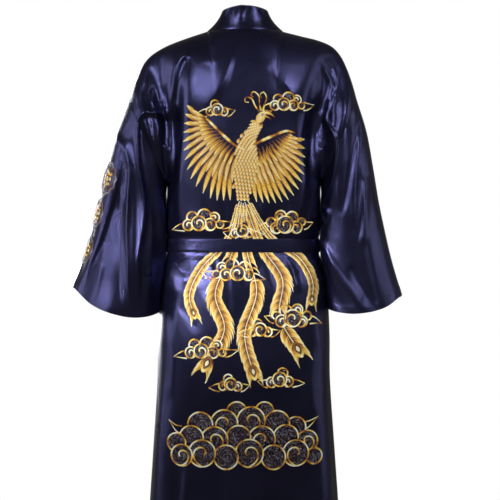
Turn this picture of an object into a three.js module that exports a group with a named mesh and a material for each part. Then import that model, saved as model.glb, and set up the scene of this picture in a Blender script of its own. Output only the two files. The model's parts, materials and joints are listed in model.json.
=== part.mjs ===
// A kimono robe in satin, in the form it has when it is worn with the arms down and the belt tied.
// Sizes are in millimetres. The origin is the middle of the neck opening, level with the points where the
// neck seam meets the shoulders. +Z is up, the robe faces -Y, and +X is the wearer's left.
import * as THREE from "three";

// Driving sizes
const HEM_DROP = 1250; // from the neck points down to the hem
const UNDERARM_DROP = 350; // from the neck points down to the foot of the armhole
const BELT_DROP = 491; // from the neck points down to the middle of the belt
const BELT_WIDTH = 30;
const BAND_WIDTH = 55; // a collar band, across
const WALL = 1.6; // cloth of the panels and sleeves
const BAND_WALL = 2.4; // the collar bands are double cloth
const BAND_RAISE = 0.8; // how far the band stands out from the panel beside it
const BAND_FOOT = 1.2; // from the neck seam up to the band
const BAND_BOW = 5; // how far the standing band is hollow between its edges
const BELT_WALL = 2;
const SEAM_GAP = 0.5; // parting between two pieces at a seam
const SLEEVE_CLEARANCE = 2.5; // from the body's cloth to a sleeve that hangs against it
const LOOP_CLEARANCE = 6; // more of the same, past the belt's loops
const CONTACT_SOFTNESS = 4; // how gradually a sleeve's wall turns to follow the body
const SLEEVE_WRAP = 20; // how far a sleeve's inner side would reach into the body if it were not there
const LAP_INSET = 5; // how far the right front lies inside the left front where they cross
const BELT_CLEARANCE = 1.6; // from the cloth to the belt's inner face
const TAIL_LENGTH = 330; // each end of the belt, below the knot
const KNOT = { width: 50, height: 36, depth: 16 };
const TAIL_CLEARANCE = { left: 11, right: 7 }; // from the front to each end, which lie over each other
const TAIL_RADIUS = 122; // of the body under the ends
const TAIL_GAP = 0.2; // below the knot's lowest point
const KNOT_TURN = 180; // the middle of the front
const LOOP_THREAD = 2.4; // the thread loops at the side seams, across
const LOOP_REACH = 46; // from a loop's upper foot to its lower one

// How finely the walls are divided
const YOKE_ROWS = 18; // ridge to underarm; a sleeve has twice as many columns around
// Rows below the underarm are close together at the belt.
const SKIRT_DROPS = [350, 395, 435, 456, 472, 491, 510, 526, 570, 635, 720, 830, 960, 1105, 1250];
const BACK_COLUMNS = 36;
const SIDE_DENSITY = 0.25; // draws the back's columns towards its sides, where its deepest folds are
const FRONT_COLUMNS = 14;
const BAND_COLUMNS = 4;
const BELT_COLUMNS = 60;
const TAIL_ROWS = 14;
const NECK_STATIONS = 9; // of a collar band, from the seam behind the neck to a neck point
const SLEEVE_ROWS = 15;

const FOLD_FADE = 0.28; // the part of a fold's length over which it rises or dies away
const SHOULDER_ROUND = 0.5; // the part of the yoke's height in which back and front leave the ridge
const SPREAD = 1.8; // how soon below the neck the cloth is as wide as lower down; 1 is evenly
const RIDGE_POWER = { neck: 1.55, shoulder: 2 }; // how squarely the cloth turns down from the ridge
const NECK_SHARE = 0.3; // the part of a half panel's top edge that is neck seam and not shoulder
const NECK = { halfWidth: 86, backReach: 62, backRise: 2, pointRise: 3 };
const BAND_CREASE = { x: 14, width: 15, depth: 6 }; // the pressed ridge at the seam of the two collar bands
const RING_POWER = 2.35; // 2 is an ellipse; more is squarer

// The body's sections below the shoulders: half widths to each side, and depths behind and before the origin.
const BODY = [
  { drop: 150, left: 172, right: 168, back: 120, front: 112 },
  { drop: 250, left: 176, right: 172, back: 124, front: 121 },
  { drop: 350, left: 179, right: 174, back: 123, front: 124 },
  { drop: 420, left: 182, right: 174, back: 117, front: 121 },
  { drop: 456, left: 184, right: 175, back: 111, front: 117 },
  { drop: 472, left: 180, right: 171, back: 105, front: 111 },
  { drop: 510, left: 180, right: 171, back: 105, front: 111 },
  { drop: 526, left: 185, right: 177, back: 111, front: 117 },
  { drop: 600, left: 195, right: 190, back: 127, front: 123 },
  { drop: 690, left: 200, right: 195, back: 134, front: 125 },
  { drop: 800, left: 202, right: 196, back: 130, front: 126 },
  { drop: 965, left: 212, right: 207, back: 127, front: 130 },
  { drop: 1080, left: 219, right: 215, back: 131, front: 135 },
  { drop: 1250, left: 228, right: 224, back: 139, front: 143 },
];

// The outline seen from behind: over the shoulder to the top of the armhole, and down the sleeve to the cuff.
const SHOULDER = {
  left: [
    { x: 87, drop: -3 },
    { x: 136, drop: 13 },
    { x: 180, drop: 30 },
    { x: 215, drop: 51 },
    { x: 234, drop: 72 },
    { x: 246, drop: 96 },
    { x: 257, drop: 122 },
    { x: 269, drop: 154 },
  ],
  right: [
    { x: 87, drop: -3 },
    { x: 131, drop: 8 },
    { x: 168, drop: 17 },
    { x: 200, drop: 31 },
    { x: 220, drop: 52 },
    { x: 236, drop: 84 },
    { x: 248, drop: 118 },
    { x: 258, drop: 154 },
  ],
};
const SLEEVE_OUTER = {
  left: [
    { drop: 154, x: 269 },
    { drop: 233, x: 299 },
    { drop: 300, x: 319 },
    { drop: 400, x: 342 },
    { drop: 483, x: 362 },
    { drop: 533, x: 379 },
    { drop: 582, x: 398 },
  ],
  right: [
    { drop: 154, x: 258 },
    { drop: 228, x: 280 },
    { drop: 306, x: 295 },
    { drop: 394, x: 310 },
    { drop: 474, x: 327 },
    { drop: 533, x: 341 },
    { drop: 604, x: 362 },
  ],
};
const SLEEVE_INNER = {
  left: [
    { drop: 350, x: 179 },
    { drop: 420, x: 188 },
    { drop: 500, x: 193 },
    { drop: 560, x: 199 },
    { drop: 620, x: 207 },
  ],
  right: [
    { drop: 350, x: 174 },
    { drop: 420, x: 180 },
    { drop: 500, x: 185 },
    { drop: 560, x: 193 },
    { drop: 620, x: 203 },
  ],
};
// The cuff's edge: `round` is 0 on the outer edge of the sleeve and 0.5 on its inner side.
const CUFF = {
  left: [
    { round: 0, drop: 582 },
    { round: 0.08, drop: 594 },
    { round: 0.17, drop: 625 },
    { round: 0.25, drop: 644 },
    { round: 0.33, drop: 654 },
    { round: 0.42, drop: 644 },
    { round: 0.5, drop: 620 },
  ],
  right: [
    { round: 0, drop: 604 },
    { round: 0.08, drop: 611 },
    { round: 0.17, drop: 630 },
    { round: 0.25, drop: 641 },
    { round: 0.33, drop: 645 },
    { round: 0.42, drop: 636 },
    { round: 0.5, drop: 620 },
  ],
};
// Depth of the sleeve behind and before the arm's middle, from the armhole (0) to the cuff (1).
const SLEEVE_DEPTH = [
  { along: 0, back: 72, front: 72 },
  { along: 0.3, back: 76, front: 74 },
  { along: 0.65, back: 84, front: 80 },
  { along: 1, back: 92, front: 86 },
];

// Depth across the yoke halfway between ridge and underarm: the back or chest, the hollow between it and the
// arm, and the arm. `across` runs from the middle (0) to the armhole (1).
const YOKE_BACK = [
  { across: 0, depth: 119 },
  { across: 0.2, depth: 118 },
  { across: 0.4, depth: 111 },
  { across: 0.54, depth: 92 },
  { across: 0.64, depth: 58 },
  { across: 0.72, depth: 50 },
  { across: 0.82, depth: 68 },
  { across: 0.92, depth: 77 },
  { across: 1, depth: 72 },
];
const YOKE_FRONT = [
  { across: -0.4, depth: 104 },
  { across: 0, depth: 112 },
  { across: 0.2, depth: 111 },
  { across: 0.4, depth: 103 },
  { across: 0.54, depth: 85 },
  { across: 0.64, depth: 60 },
  { across: 0.72, depth: 54 },
  { across: 0.82, depth: 66 },
  { across: 0.92, depth: 75 },
  { across: 1, depth: 72 },
];

// The seam between a front and its band: `along` is 0 at the neck point, 1 at the underarm's level and 2 at
// the hem, and `across` is 0 on the middle line and 1 at the side.
const FRONT_EDGE = [
  { along: 0, across: 0.3 },
  { along: 0.2, across: 0.3 },
  { along: 0.5, across: 0.28 },
  { along: 0.8, across: 0.17 },
  { along: 1, across: 0.03 },
  { along: 1.1, across: -0.1 },
  { along: 1.18, across: -0.2 },
  { along: 1.4, across: -0.27 },
  { along: 2, across: -0.3 },
];

// Folds of the body. The turns are angles round the body in degrees: 0 is the middle of the back, 90 the left
// side, -90 the right side, 180 the middle of the front. They are given at the fold's start, halfway and at
// its end. Each fold runs from one drop to another, with a width in degrees and a depth in mm, out of the
// body where it is above 0.
const BODY_FOLDS = [
  // the left of the back, where the yoke turns into the sleeve
  { from: 40, to: 440, start: 30, middle: 54, end: 68, width: 6, depth: 5 },
  { from: 45, to: 450, start: 40, middle: 63, end: 79, width: 4, depth: -9 },
  { from: 40, to: 330, start: 48, middle: 66, end: 76, width: 4, depth: 8 },
  { from: 110, to: 330, start: 72, middle: 75, end: 83, width: 4, depth: -6 },
  { from: 100, to: 300, start: 82, middle: 80, end: 88, width: 4, depth: 5 },
  // the right of the back
  { from: 90, to: 440, start: -30, middle: -48, end: -62, width: 6, depth: 4 },
  { from: 60, to: 430, start: -50, middle: -58, end: -70, width: 4, depth: -8 },
  { from: 35, to: 330, start: -52, middle: -66, end: -80, width: 4, depth: 7 },
  { from: 70, to: 300, start: -74, middle: -74, end: -84, width: 4, depth: -5 },
  // gathered above and below the belt
  { from: 330, to: 463, start: 66, middle: 63, end: 58, width: 4, depth: 4 },
  { from: 340, to: 463, start: 32, middle: 29, end: 24, width: 5, depth: 2.5 },
  { from: 360, to: 463, start: 8, middle: 6, end: 5, width: 4, depth: -2 },
  { from: 350, to: 463, start: -36, middle: -33, end: -28, width: 5, depth: 2.5 },
  { from: 330, to: 463, start: -76, middle: -68, end: -60, width: 4, depth: 5 },
  { from: 519, to: 720, start: 50, middle: 54, end: 62, width: 4.5, depth: 5 },
  { from: 519, to: 640, start: 36, middle: 34, end: 31, width: 4, depth: 3 },
  { from: 519, to: 660, start: 20, middle: 17, end: 13, width: 4, depth: -3 },
  { from: 519, to: 650, start: -15, middle: -14, end: -11, width: 4, depth: 3 },
  { from: 519, to: 690, start: -34, middle: -38, end: -43, width: 4, depth: -4 },
  { from: 519, to: 740, start: -54, middle: -58, end: -64, width: 4.5, depth: 5 },
  // the fall of the skirt
  { from: 700, to: 1700, start: 74, middle: 70, end: 67, width: 6, depth: 8 },
  { from: 760, to: 1700, start: 56, middle: 57, end: 57, width: 6, depth: -7 },
  { from: 850, to: 1700, start: 40, middle: 42, end: 44, width: 6, depth: 6 },
  { from: 820, to: 1700, start: 22, middle: 26, end: 28, width: 7, depth: -5 },
  { from: 900, to: 1700, start: 8, middle: 9, end: 10, width: 7, depth: 5 },
  { from: 850, to: 1700, start: -8, middle: -9, end: -10, width: 6, depth: -5 },
  { from: 900, to: 1700, start: -27, middle: -29, end: -30, width: 7, depth: 6 },
  { from: 800, to: 1700, start: -46, middle: -47, end: -48, width: 6, depth: -7 },
  { from: 760, to: 1700, start: -62, middle: -64, end: -65, width: 6, depth: 8 },
  { from: 700, to: 1700, start: -77, middle: -79, end: -80, width: 5, depth: -5 },
  // the front, which the photo's side doesn't show
  { from: 60, to: 350, start: 124, middle: 118, end: 108, width: 6.5, depth: -8 },
  { from: 60, to: 350, start: -124, middle: -118, end: -108, width: 6.5, depth: -8 },
  { from: 60, to: 330, start: 132, middle: 128, end: 120, width: 7, depth: 5 },
  { from: 60, to: 330, start: -132, middle: -128, end: -120, width: 7, depth: 5 },
  { from: 280, to: 463, start: 112, middle: 122, end: 130, width: 7, depth: 4 },
  { from: 280, to: 463, start: -112, middle: -120, end: -128, width: 7, depth: 4 },
  { from: 519, to: 850, start: 132, middle: 127, end: 122, width: 7, depth: 5 },
  { from: 519, to: 800, start: 152, middle: 149, end: 146, width: 7, depth: -4 },
  { from: 519, to: 780, start: -152, middle: -148, end: -144, width: 7, depth: -4 },
  { from: 519, to: 880, start: -126, middle: -121, end: -116, width: 7, depth: 5 },
  { from: 820, to: 1700, start: 148, middle: 147, end: 146, width: 7, depth: 5 },
  { from: 850, to: 1700, start: 128, middle: 127, end: 126, width: 7, depth: -6 },
  { from: 780, to: 1700, start: 110, middle: 108, end: 106, width: 7.5, depth: 8 },
  { from: 840, to: 1700, start: -150, middle: -149, end: -148, width: 7, depth: 5 },
  { from: 880, to: 1700, start: -131, middle: -130, end: -129, width: 7, depth: -6 },
  { from: 780, to: 1700, start: -112, middle: -110, end: -108, width: 7.5, depth: 8 },
];
// Folds of the sleeves, in the same columns. They turn round the sleeve: 0 is its outer edge, 0.25 the back,
// 0.5 the inner side and 0.75 the front. `from` and `to` run from the armhole (0) to the cuff (1), and a fold
// that begins above the armhole or ends past the cuff is cut off there. Widths are in turns too.
const SLEEVE_FOLDS = {
  left: [
    { from: 0.0, to: 1.3, start: 0.11, middle: 0.125, end: 0.08, width: 0.03, depth: 5 },
    { from: 0.1, to: 1.2, start: 0.15, middle: 0.19, end: 0.21, width: 0.035, depth: -5 },
    { from: 0.0, to: 1.0, start: 0.13, middle: 0.25, end: 0.3, width: 0.029, depth: 8 },
    { from: -0.1, to: 0.98, start: 0.17, middle: 0.278, end: 0.316, width: 0.029, depth: -7 },
    { from: -0.3, to: 1.05, start: 0.15, middle: 0.305, end: 0.337, width: 0.029, depth: 10 },
    { from: -0.2, to: 1.2, start: 0.3, middle: 0.375, end: 0.4, width: 0.032, depth: -12 },
    { from: 0.2, to: 1.3, start: 0.7, middle: 0.67, end: 0.65, width: 0.03, depth: 8 },
    { from: 0.1, to: 1.1, start: 0.77, middle: 0.73, end: 0.71, width: 0.03, depth: -8 },
    { from: 0.0, to: 1.3, start: 0.84, middle: 0.84, end: 0.86, width: 0.035, depth: 6 },
    { from: -0.2, to: 1.0, start: 0.64, middle: 0.6, end: 0.58, width: 0.032, depth: -11 },
  ],
  right: [
    { from: -0.1, to: 1.2, start: 0.13, middle: 0.19, end: 0.2, width: 0.03, depth: 6 },
    { from: 0.1, to: 1.2, start: 0.2, middle: 0.25, end: 0.24, width: 0.029, depth: -6 },
    { from: 0.05, to: 0.7, start: 0.24, middle: 0.29, end: 0.31, width: 0.029, depth: 4 },
    { from: -0.25, to: 0.45, start: 0.24, middle: 0.3, end: 0.42, width: 0.029, depth: 9 },
    { from: 0.3, to: 1.2, start: 0.47, middle: 0.34, end: 0.2, width: 0.029, depth: 10 },
    { from: 0.35, to: 1.25, start: 0.52, middle: 0.4, end: 0.27, width: 0.03, depth: -11 },
    { from: -0.2, to: 0.6, start: 0.3, middle: 0.37, end: 0.42, width: 0.028, depth: -8 },
    { from: 0.2, to: 1.3, start: 0.7, middle: 0.68, end: 0.66, width: 0.03, depth: 8 },
    { from: 0.1, to: 1.1, start: 0.78, middle: 0.75, end: 0.73, width: 0.03, depth: -7 },
    { from: 0.0, to: 1.3, start: 0.87, middle: 0.85, end: 0.86, width: 0.035, depth: 5 },
    { from: -0.2, to: 1.0, start: 0.63, middle: 0.59, end: 0.57, width: 0.032, depth: -10 },
  ],
};

const satin = new THREE.MeshStandardMaterial({ color: 0x15152b, roughness: 0.38, metalness: 0.35 });
const bandSatin = new THREE.MeshStandardMaterial({ color: 0x17172f, roughness: 0.36, metalness: 0.35 });
const beltSatin = new THREE.MeshStandardMaterial({ color: 0x121224, roughness: 0.45, metalness: 0.25 });
const thread = new THREE.MeshStandardMaterial({ color: 0x1a1a2c, roughness: 0.7, metalness: 0 });

// Small tools
const { degToRad, radToDeg } = THREE.MathUtils;
const clamp = (t) => Math.min(1, Math.max(0, t));
const ease = (t) => clamp(t) ** 2 * (3 - 2 * clamp(t));
const mix = (a, b, t) => a + (b - a) * t;
const bell = (distance, width) => Math.exp(-((distance / width) ** 2));
const sideOf = (x) => (x < 0 ? "right" : "left");
const signOf = (side) => (side === "left" ? 1 : -1);
const steps = (count) => Array.from({ length: count + 1 }, (_, i) => i / count);

// A smooth curve through the rows of a table, as a function from one column to another.
function curve(rows, from, to) {
  const xs = rows.map((row) => row[from]);
  const ys = rows.map((row) => row[to]);
  const last = xs.length - 1;
  const slopes = xs.map((_, i) => {
    const [a, b] = [Math.max(0, i - 1), Math.min(last, i + 1)];
    return (ys[b] - ys[a]) / (xs[b] - xs[a]);
  });
  return (x) => {
    if (x <= xs[0]) return ys[0] + slopes[0] * (x - xs[0]);
    if (x >= xs[last]) return ys[last] + slopes[last] * (x - xs[last]);
    let i = 0;
    while (x > xs[i + 1]) i++;
    const h = xs[i + 1] - xs[i];
    const t = (x - xs[i]) / h;
    const start = (1 + 2 * t) * (1 - t) ** 2 * ys[i] + t * (1 - t) ** 2 * h * slopes[i];
    const end = t * t * (3 - 2 * t) * ys[i + 1] + t * t * (t - 1) * h * slopes[i + 1];
    return start + end;
  };
}

// A table for each side becomes a curve for each side.
const bothSides = (tables, from, to) => ({
  left: curve(tables.left, from, to),
  right: curve(tables.right, from, to),
});

// The same rows with a column that grows from 0 to 1 along the line that they draw.
function withShare(rows) {
  let length = 0;
  const lengths = rows.map((row, i) => {
    if (i) length += Math.hypot(row.x - rows[i - 1].x, row.drop - rows[i - 1].drop);
    return length;
  });
  return rows.map((row, i) => ({ ...row, share: lengths[i] / length }));
}

const shoulder = { left: withShare(SHOULDER.left), right: withShare(SHOULDER.right) };
const ridgeX = bothSides(shoulder, "share", "x");
const ridgeDrop = bothSides(shoulder, "share", "drop");
const bodyWidth = { left: curve(BODY, "drop", "left"), right: curve(BODY, "drop", "right") };
const bodyDepth = { back: curve(BODY, "drop", "back"), front: curve(BODY, "drop", "front") };
const yokeDepth = {
  back: curve(YOKE_BACK, "across", "depth"),
  front: curve(YOKE_FRONT, "across", "depth"),
};
const frontEdge = curve(FRONT_EDGE, "along", "across");
const sleeveOuter = bothSides(SLEEVE_OUTER, "drop", "x");
const sleeveInner = bothSides(SLEEVE_INNER, "drop", "x");
const cuffDrop = bothSides(CUFF, "round", "drop");
const sleeveDepth = {
  back: curve(SLEEVE_DEPTH, "along", "back"),
  front: curve(SLEEVE_DEPTH, "along", "front"),
};

// Folds
// A fold's place, in its own kind of turn, at a share of its length.
function foldPlace(fold, share) {
  if (share < 0.5) return mix(fold.start, fold.middle, share * 2);
  return mix(fold.middle, fold.end, share * 2 - 1);
}

// The sum of a table's folds at a place. `full` is one whole turn in the table's measure.
function foldSum(folds, turn, distance, full) {
  return folds.reduce((sum, fold) => {
    const share = (distance - fold.from) / (fold.to - fold.from);
    if (share <= 0 || share >= 1) return sum;
    const apart = Math.abs(turn - foldPlace(fold, share)) % full;
    const fade = ease(share / FOLD_FADE) * ease((1 - share) / FOLD_FADE);
    return sum + fold.depth * fade * bell(Math.min(apart, full - apart), fold.width);
  }, 0);
}

const bodyFold = (turn, drop) => foldSum(BODY_FOLDS, turn, drop, 360);
const sleeveFold = (side, round, along) => foldSum(SLEEVE_FOLDS[side], round, along, 1);

// The body
// A point of the closed section round the body, at a turn in degrees and a drop.
function ringPoint(turn, drop) {
  const sine = Math.sin(degToRad(turn));
  const cosine = Math.cos(degToRad(turn));
  const width = bodyWidth[sideOf(sine)](drop);
  const depth = bodyDepth[cosine > 0 ? "back" : "front"](drop);
  const sum = (Math.abs(sine) / width) ** RING_POWER + (Math.abs(cosine) / depth) ** RING_POWER;
  const reach = sum ** (-1 / RING_POWER);
  return new THREE.Vector3(reach * sine, reach * cosine, -drop);
}

// A point of a panel's top edge: the neck seam, then the ridge of the shoulder. The front's neck edge is a
// straight line that only shapes the cloth below it, because the front is cut away there.
function ridgePoint(face, across) {
  const share = Math.abs(across);
  const sign = across < 0 ? -1 : 1;
  if (share >= NECK_SHARE) {
    const side = sideOf(across);
    const along = (share - NECK_SHARE) / (1 - NECK_SHARE);
    return new THREE.Vector3(sign * ridgeX[side](along), 0, -ridgeDrop[side](along));
  }
  if (face === "front") {
    return new THREE.Vector3((across / NECK_SHARE) * NECK.halfWidth, 0, NECK.pointRise);
  }
  const round = (share / NECK_SHARE) * (Math.PI / 2);
  const rise = mix(NECK.pointRise, NECK.backRise, Math.cos(round));
  return new THREE.Vector3(sign * NECK.halfWidth * Math.sin(round), NECK.backReach * Math.cos(round), rise);
}

const turnOf = (face, across) => (face === "back" ? across * 90 : 180 - across * 90);

// A point of the back's or front's smooth form. `along` is 0 on the ridge, 1 at the underarm's level and 2 at
// the hem. `across` runs from the middle (0) to the left side (1) or the right side (-1).
function formPoint(face, across, along) {
  const turn = turnOf(face, across);
  if (along >= 1) return ringPoint(turn, mix(UNDERARM_DROP, HEM_DROP, along - 1));
  const top = ridgePoint(face, across);
  const foot = ringPoint(turn, UNDERARM_DROP);
  const share = Math.abs(across);
  const spread = mix(SPREAD, 1, ease((share - 0.7) / 0.3));
  const x = mix(top.x, foot.x, 1 - (1 - along) ** spread);
  const z = mix(top.z, foot.z, along);
  const power = mix(RIDGE_POWER.neck, RIDGE_POWER.shoulder, ease(share / NECK_SHARE));
  const high = Math.min(1, along / SHOULDER_ROUND);
  const rise = (1 - (1 - high) ** power) ** (1 / power);
  const low = Math.max(0, (along - 0.5) / 0.5);
  const armhole = ease((share - 0.8) / 0.2);
  const settle = mix(ease(low), 1 - Math.sqrt(1 - low * low), armhole);
  const ringDepth = ringPoint(turn, Math.max(BODY[0].drop, -z)).y;
  const middleDepth = (face === "back" ? 1 : -1) * yokeDepth[face](share);
  return new THREE.Vector3(x, mix(top.y, mix(middleDepth, ringDepth, settle), rise), z);
}

// The direction out of a smooth surface, given as a function of two measures.
function outward(surface, u, v, step, hub) {
  const alongU = surface(u + step, v).sub(surface(u - step, v));
  const alongV = surface(u, v + step).sub(surface(u, Math.max(0, v - step)));
  const out = alongU.cross(alongV).normalize();
  return out.dot(surface(u, v).sub(hub)) < 0 ? out.negate() : out;
}

const CHEST = new THREE.Vector3(0, 0, -200); // the cloth of the yoke faces away from here

// A point of the finished back or front, with its folds, moved in by `inset`.
function clothPoint(face, across, along, inset = 0) {
  const form = formPoint(face, across, along);
  const hub = along < 1 ? CHEST : new THREE.Vector3(0, 0, form.z);
  const out = outward((u, v) => formPoint(face, u, v), across, along, 1e-3, hub);
  const seamEase = ease((1 - Math.abs(across)) / 0.08) * ease(along / 0.12);
  return form.addScaledVector(out, bodyFold(turnOf(face, across), -form.z) * seamEase - inset);
}

// How far in the right front lies, so that the left front covers it.
function lapInset(across, along) {
  return LAP_INSET * ease((0.74 - across) / 0.2) * ease((along - 0.25) / 0.35);
}

// A point of a front. `across` counts from the middle towards the front's own side.
function frontPoint(side, across, along) {
  const inset = side === "left" ? 0 : lapInset(across, along);
  return clothPoint("front", signOf(side) * across, along, inset);
}

// The sleeves
// Moves a point of a sleeve out from the body until it is just clear of it, and of the belt's loops.
function clearOfBody(point) {
  const turn = radToDeg(Math.atan2(point.x, point.y));
  const drop = -point.z;
  const fromLoop = bell(drop - BELT_DROP, 34) * bell(Math.abs(turn) - 90, 30);
  const skin = ringPoint(turn, drop).setZ(0).length() + Math.max(0, bodyFold(turn, drop));
  const reach = Math.hypot(point.x, point.y);
  const over = skin + SLEEVE_CLEARANCE + LOOP_CLEARANCE * fromLoop - reach;
  if (over < -CONTACT_SOFTNESS) return point;
  const push = over > CONTACT_SOFTNESS ? over : (over + CONTACT_SOFTNESS) ** 2 / (4 * CONTACT_SOFTNESS);
  const scale = (reach + push) / reach;
  return point.multiply(new THREE.Vector3(scale, scale, 1));
}

// A point of a sleeve's section. `round` is 0 on the outer edge, 0.25 at the back and 0.5 on the inner side.
function sleeveRing(side, round, along) {
  const cuffOuter = CUFF[side][0].drop;
  const cuffInner = CUFF[side].at(-1).drop;
  const outerDrop = mix(SLEEVE_OUTER[side][0].drop, cuffOuter, along);
  const innerDrop = mix(UNDERARM_DROP, cuffInner, along);
  const cosine = Math.cos(round * 2 * Math.PI);
  const sine = Math.sin(round * 2 * Math.PI);
  const power = cosine > 0 ? mix(2, 1.75, ease(along / 0.7)) : mix(2, 2.5, ease(along / 0.5));
  const reach = (Math.abs(cosine) ** power + Math.abs(sine) ** power) ** (-1 / power);
  const level = (1 + reach * cosine) / 2;
  const wrap = SLEEVE_WRAP * ease(along / 0.35) * Math.max(0, -reach * cosine) ** 1.5;
  const x = mix(sleeveInner[side](innerDrop), sleeveOuter[side](outerDrop), level) - wrap;
  const y = reach * sine * sleeveDepth[sine > 0 ? "back" : "front"](along);
  const toCuffLine = cuffDrop[side](Math.min(round, 1 - round)) - mix(cuffInner, cuffOuter, level);
  const drop = mix(innerDrop, outerDrop, level) + toCuffLine * along ** 2;
  return new THREE.Vector3(signOf(side) * x, y, -drop);
}

// The armhole, on the edge of the back where round is under 0.5 and on the edge of the front past it.
function armholePoint(side, round) {
  const along = (1 - Math.cos(round * 2 * Math.PI)) / 2;
  return formPoint(round <= 0.5 ? "back" : "front", signOf(side), along);
}

// The smooth sleeve: its sections, led from the armhole's line over the upper part of its length.
function sleeveForm(side, round, along) {
  const turn = ((round % 1) + 1) % 1;
  const miss = armholePoint(side, turn).sub(sleeveRing(side, turn, 0));
  return sleeveRing(side, turn, along).addScaledVector(miss, (1 - clamp(along / 0.6)) ** 2);
}

// The middle of the arm at a place down the sleeve, which the sleeve's cloth faces away from.
function armCentre(side, along) {
  return sleeveForm(side, 0, along).add(sleeveForm(side, 0.5, along)).multiplyScalar(0.5);
}

function sleevePoint(side, round, along) {
  const form = sleeveForm(side, round, along);
  const out = outward((u, v) => sleeveForm(side, u, v), round, along, 2e-3, armCentre(side, along));
  const folded = form.clone().addScaledVector(out, sleeveFold(side, round, along) * ease(along / 0.12));
  return form.lerp(clearOfBody(folded), ease(along / 0.1));
}

// Walls from grids of points
// The directions out of a grid, away from a hub. Its rows are rings where `closed` is true.
function gridNormals(grid, closed, hub) {
  const rows = grid.length;
  const columns = grid[0].length;
  const normals = grid.map((row, i) =>
    row.map((point, j) => {
      const before = row[closed ? (j + columns - 1) % columns : Math.max(0, j - 1)];
      const after = row[closed ? (j + 1) % columns : Math.min(columns - 1, j + 1)];
      const across = after.clone().sub(before);
      const down = grid[Math.min(rows - 1, i + 1)][j].clone().sub(grid[Math.max(0, i - 1)][j]);
      return across.cross(down).normalize();
    }),
  );
  const [i, j] = [Math.floor(rows / 2), Math.floor(columns / 2)];
  const facesIn = normals[i][j].dot(grid[i][j].clone().sub(hub)) < 0;
  if (facesIn) normals.flat().forEach((normal) => normal.negate());
  return normals;
}

// A closed solid with its faces pointing out, whichever way round they are listed.
function solid(points, index) {
  let volume = 0;
  for (let i = 0; i < index.length; i += 3) {
    const [a, b, c] = [points[index[i]], points[index[i + 1]], points[index[i + 2]]];
    volume += a.dot(b.clone().cross(c));
  }
  const faces = volume < 0 ? index.slice().reverse() : index;
  const geometry = new THREE.BufferGeometry().setFromPoints(points).setIndex(faces);
  geometry.computeVertexNormals();
  return geometry;
}

// A wall of cloth: the grid is its outer face, and its inner face lies `thickness` behind it.
function wall(grid, normals, thickness, closed = false) {
  const columns = grid[0].length;
  const lastRow = grid.length - 1;
  const lastColumn = columns - 1;
  const inner = grid.map((row, i) => {
    return row.map((point, j) => point.clone().addScaledVector(normals[i][j], -thickness));
  });
  const at = (i, j, face) => (face * grid.length + i) * columns + (j % columns);
  const index = [];
  const quad = (a, b, c, d) => index.push(a, b, c, a, c, d);
  const spans = closed ? columns : lastColumn;
  for (let i = 0; i < lastRow; i++) {
    for (let j = 0; j < spans; j++) {
      quad(at(i, j, 0), at(i + 1, j, 0), at(i + 1, j + 1, 0), at(i, j + 1, 0));
      quad(at(i, j, 1), at(i, j + 1, 1), at(i + 1, j + 1, 1), at(i + 1, j, 1));
    }
    if (closed) continue;
    quad(at(i, 0, 0), at(i, 0, 1), at(i + 1, 0, 1), at(i + 1, 0, 0));
    quad(at(i, lastColumn, 0), at(i + 1, lastColumn, 0), at(i + 1, lastColumn, 1), at(i, lastColumn, 1));
  }
  for (let j = 0; j < spans; j++) {
    quad(at(0, j, 0), at(0, j + 1, 0), at(0, j + 1, 1), at(0, j, 1));
    quad(at(lastRow, j, 0), at(lastRow, j, 1), at(lastRow, j + 1, 1), at(lastRow, j + 1, 0));
  }
  return solid([...grid.flat(), ...inner.flat()], index);
}

// Panels
const BODY_HUB = new THREE.Vector3(0, 0, -500);
const sideTrim = SEAM_GAP / 2 / 240; // half a seam's parting, as a share of a half panel's 240 mm

// Where a drop below the underarm lies along a panel.
const alongAt = (drop) => 1 + (drop - UNDERARM_DROP) / (HEM_DROP - UNDERARM_DROP);

// The rows of a body panel, close together over the round of the shoulder and at the belt.
const panelRows = [
  ...steps(YOKE_ROWS).slice(0, -1).map((share) => (1 - Math.cos(Math.PI * share)) / 2),
  ...SKIRT_DROPS.map(alongAt),
];

// A body panel's wall. Its shoulder edge is parted from the other panel's, and both end square on the ridge.
function bodyPanel(grid, seamSide) {
  const normals = gridNormals(grid, false, BODY_HUB);
  grid[0].forEach((point, j) => {
    if (Math.abs(point.x) < NECK.halfWidth) return;
    point.y = (seamSide * SEAM_GAP) / 2;
    normals[0][j].setY(0).normalize();
  });
  return wall(grid, normals, WALL);
}

function backPanel() {
  const columns = steps(BACK_COLUMNS).map((share) => {
    const even = 2 * share - 1;
    return (even + SIDE_DENSITY * (even - even ** 3)) * (1 - sideTrim);
  });
  return bodyPanel(panelRows.map((along) => columns.map((across) => clothPoint("back", across, along))), 1);
}

function frontPanel(side) {
  const grid = panelRows.map((along) => {
    const start = frontEdge(along) + sideTrim;
    return steps(FRONT_COLUMNS).map((share) => frontPoint(side, mix(start, 1 - sideTrim, share), along));
  });
  return bodyPanel(grid, -1);
}

function sleeve(side) {
  const columns = steps(2 * YOKE_ROWS).slice(0, -1);
  const armhole = SEAM_GAP / 2 / 430; // half a seam's parting, as a share of a sleeve's 430 mm
  const rows = steps(SLEEVE_ROWS).map((share) => mix(armhole, 1, share));
  const grid = rows.map((along) => columns.map((round) => sleevePoint(side, round, along)));
  return wall(grid, gridNormals(grid, true, armCentre(side, 0.5)), WALL, true);
}

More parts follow.
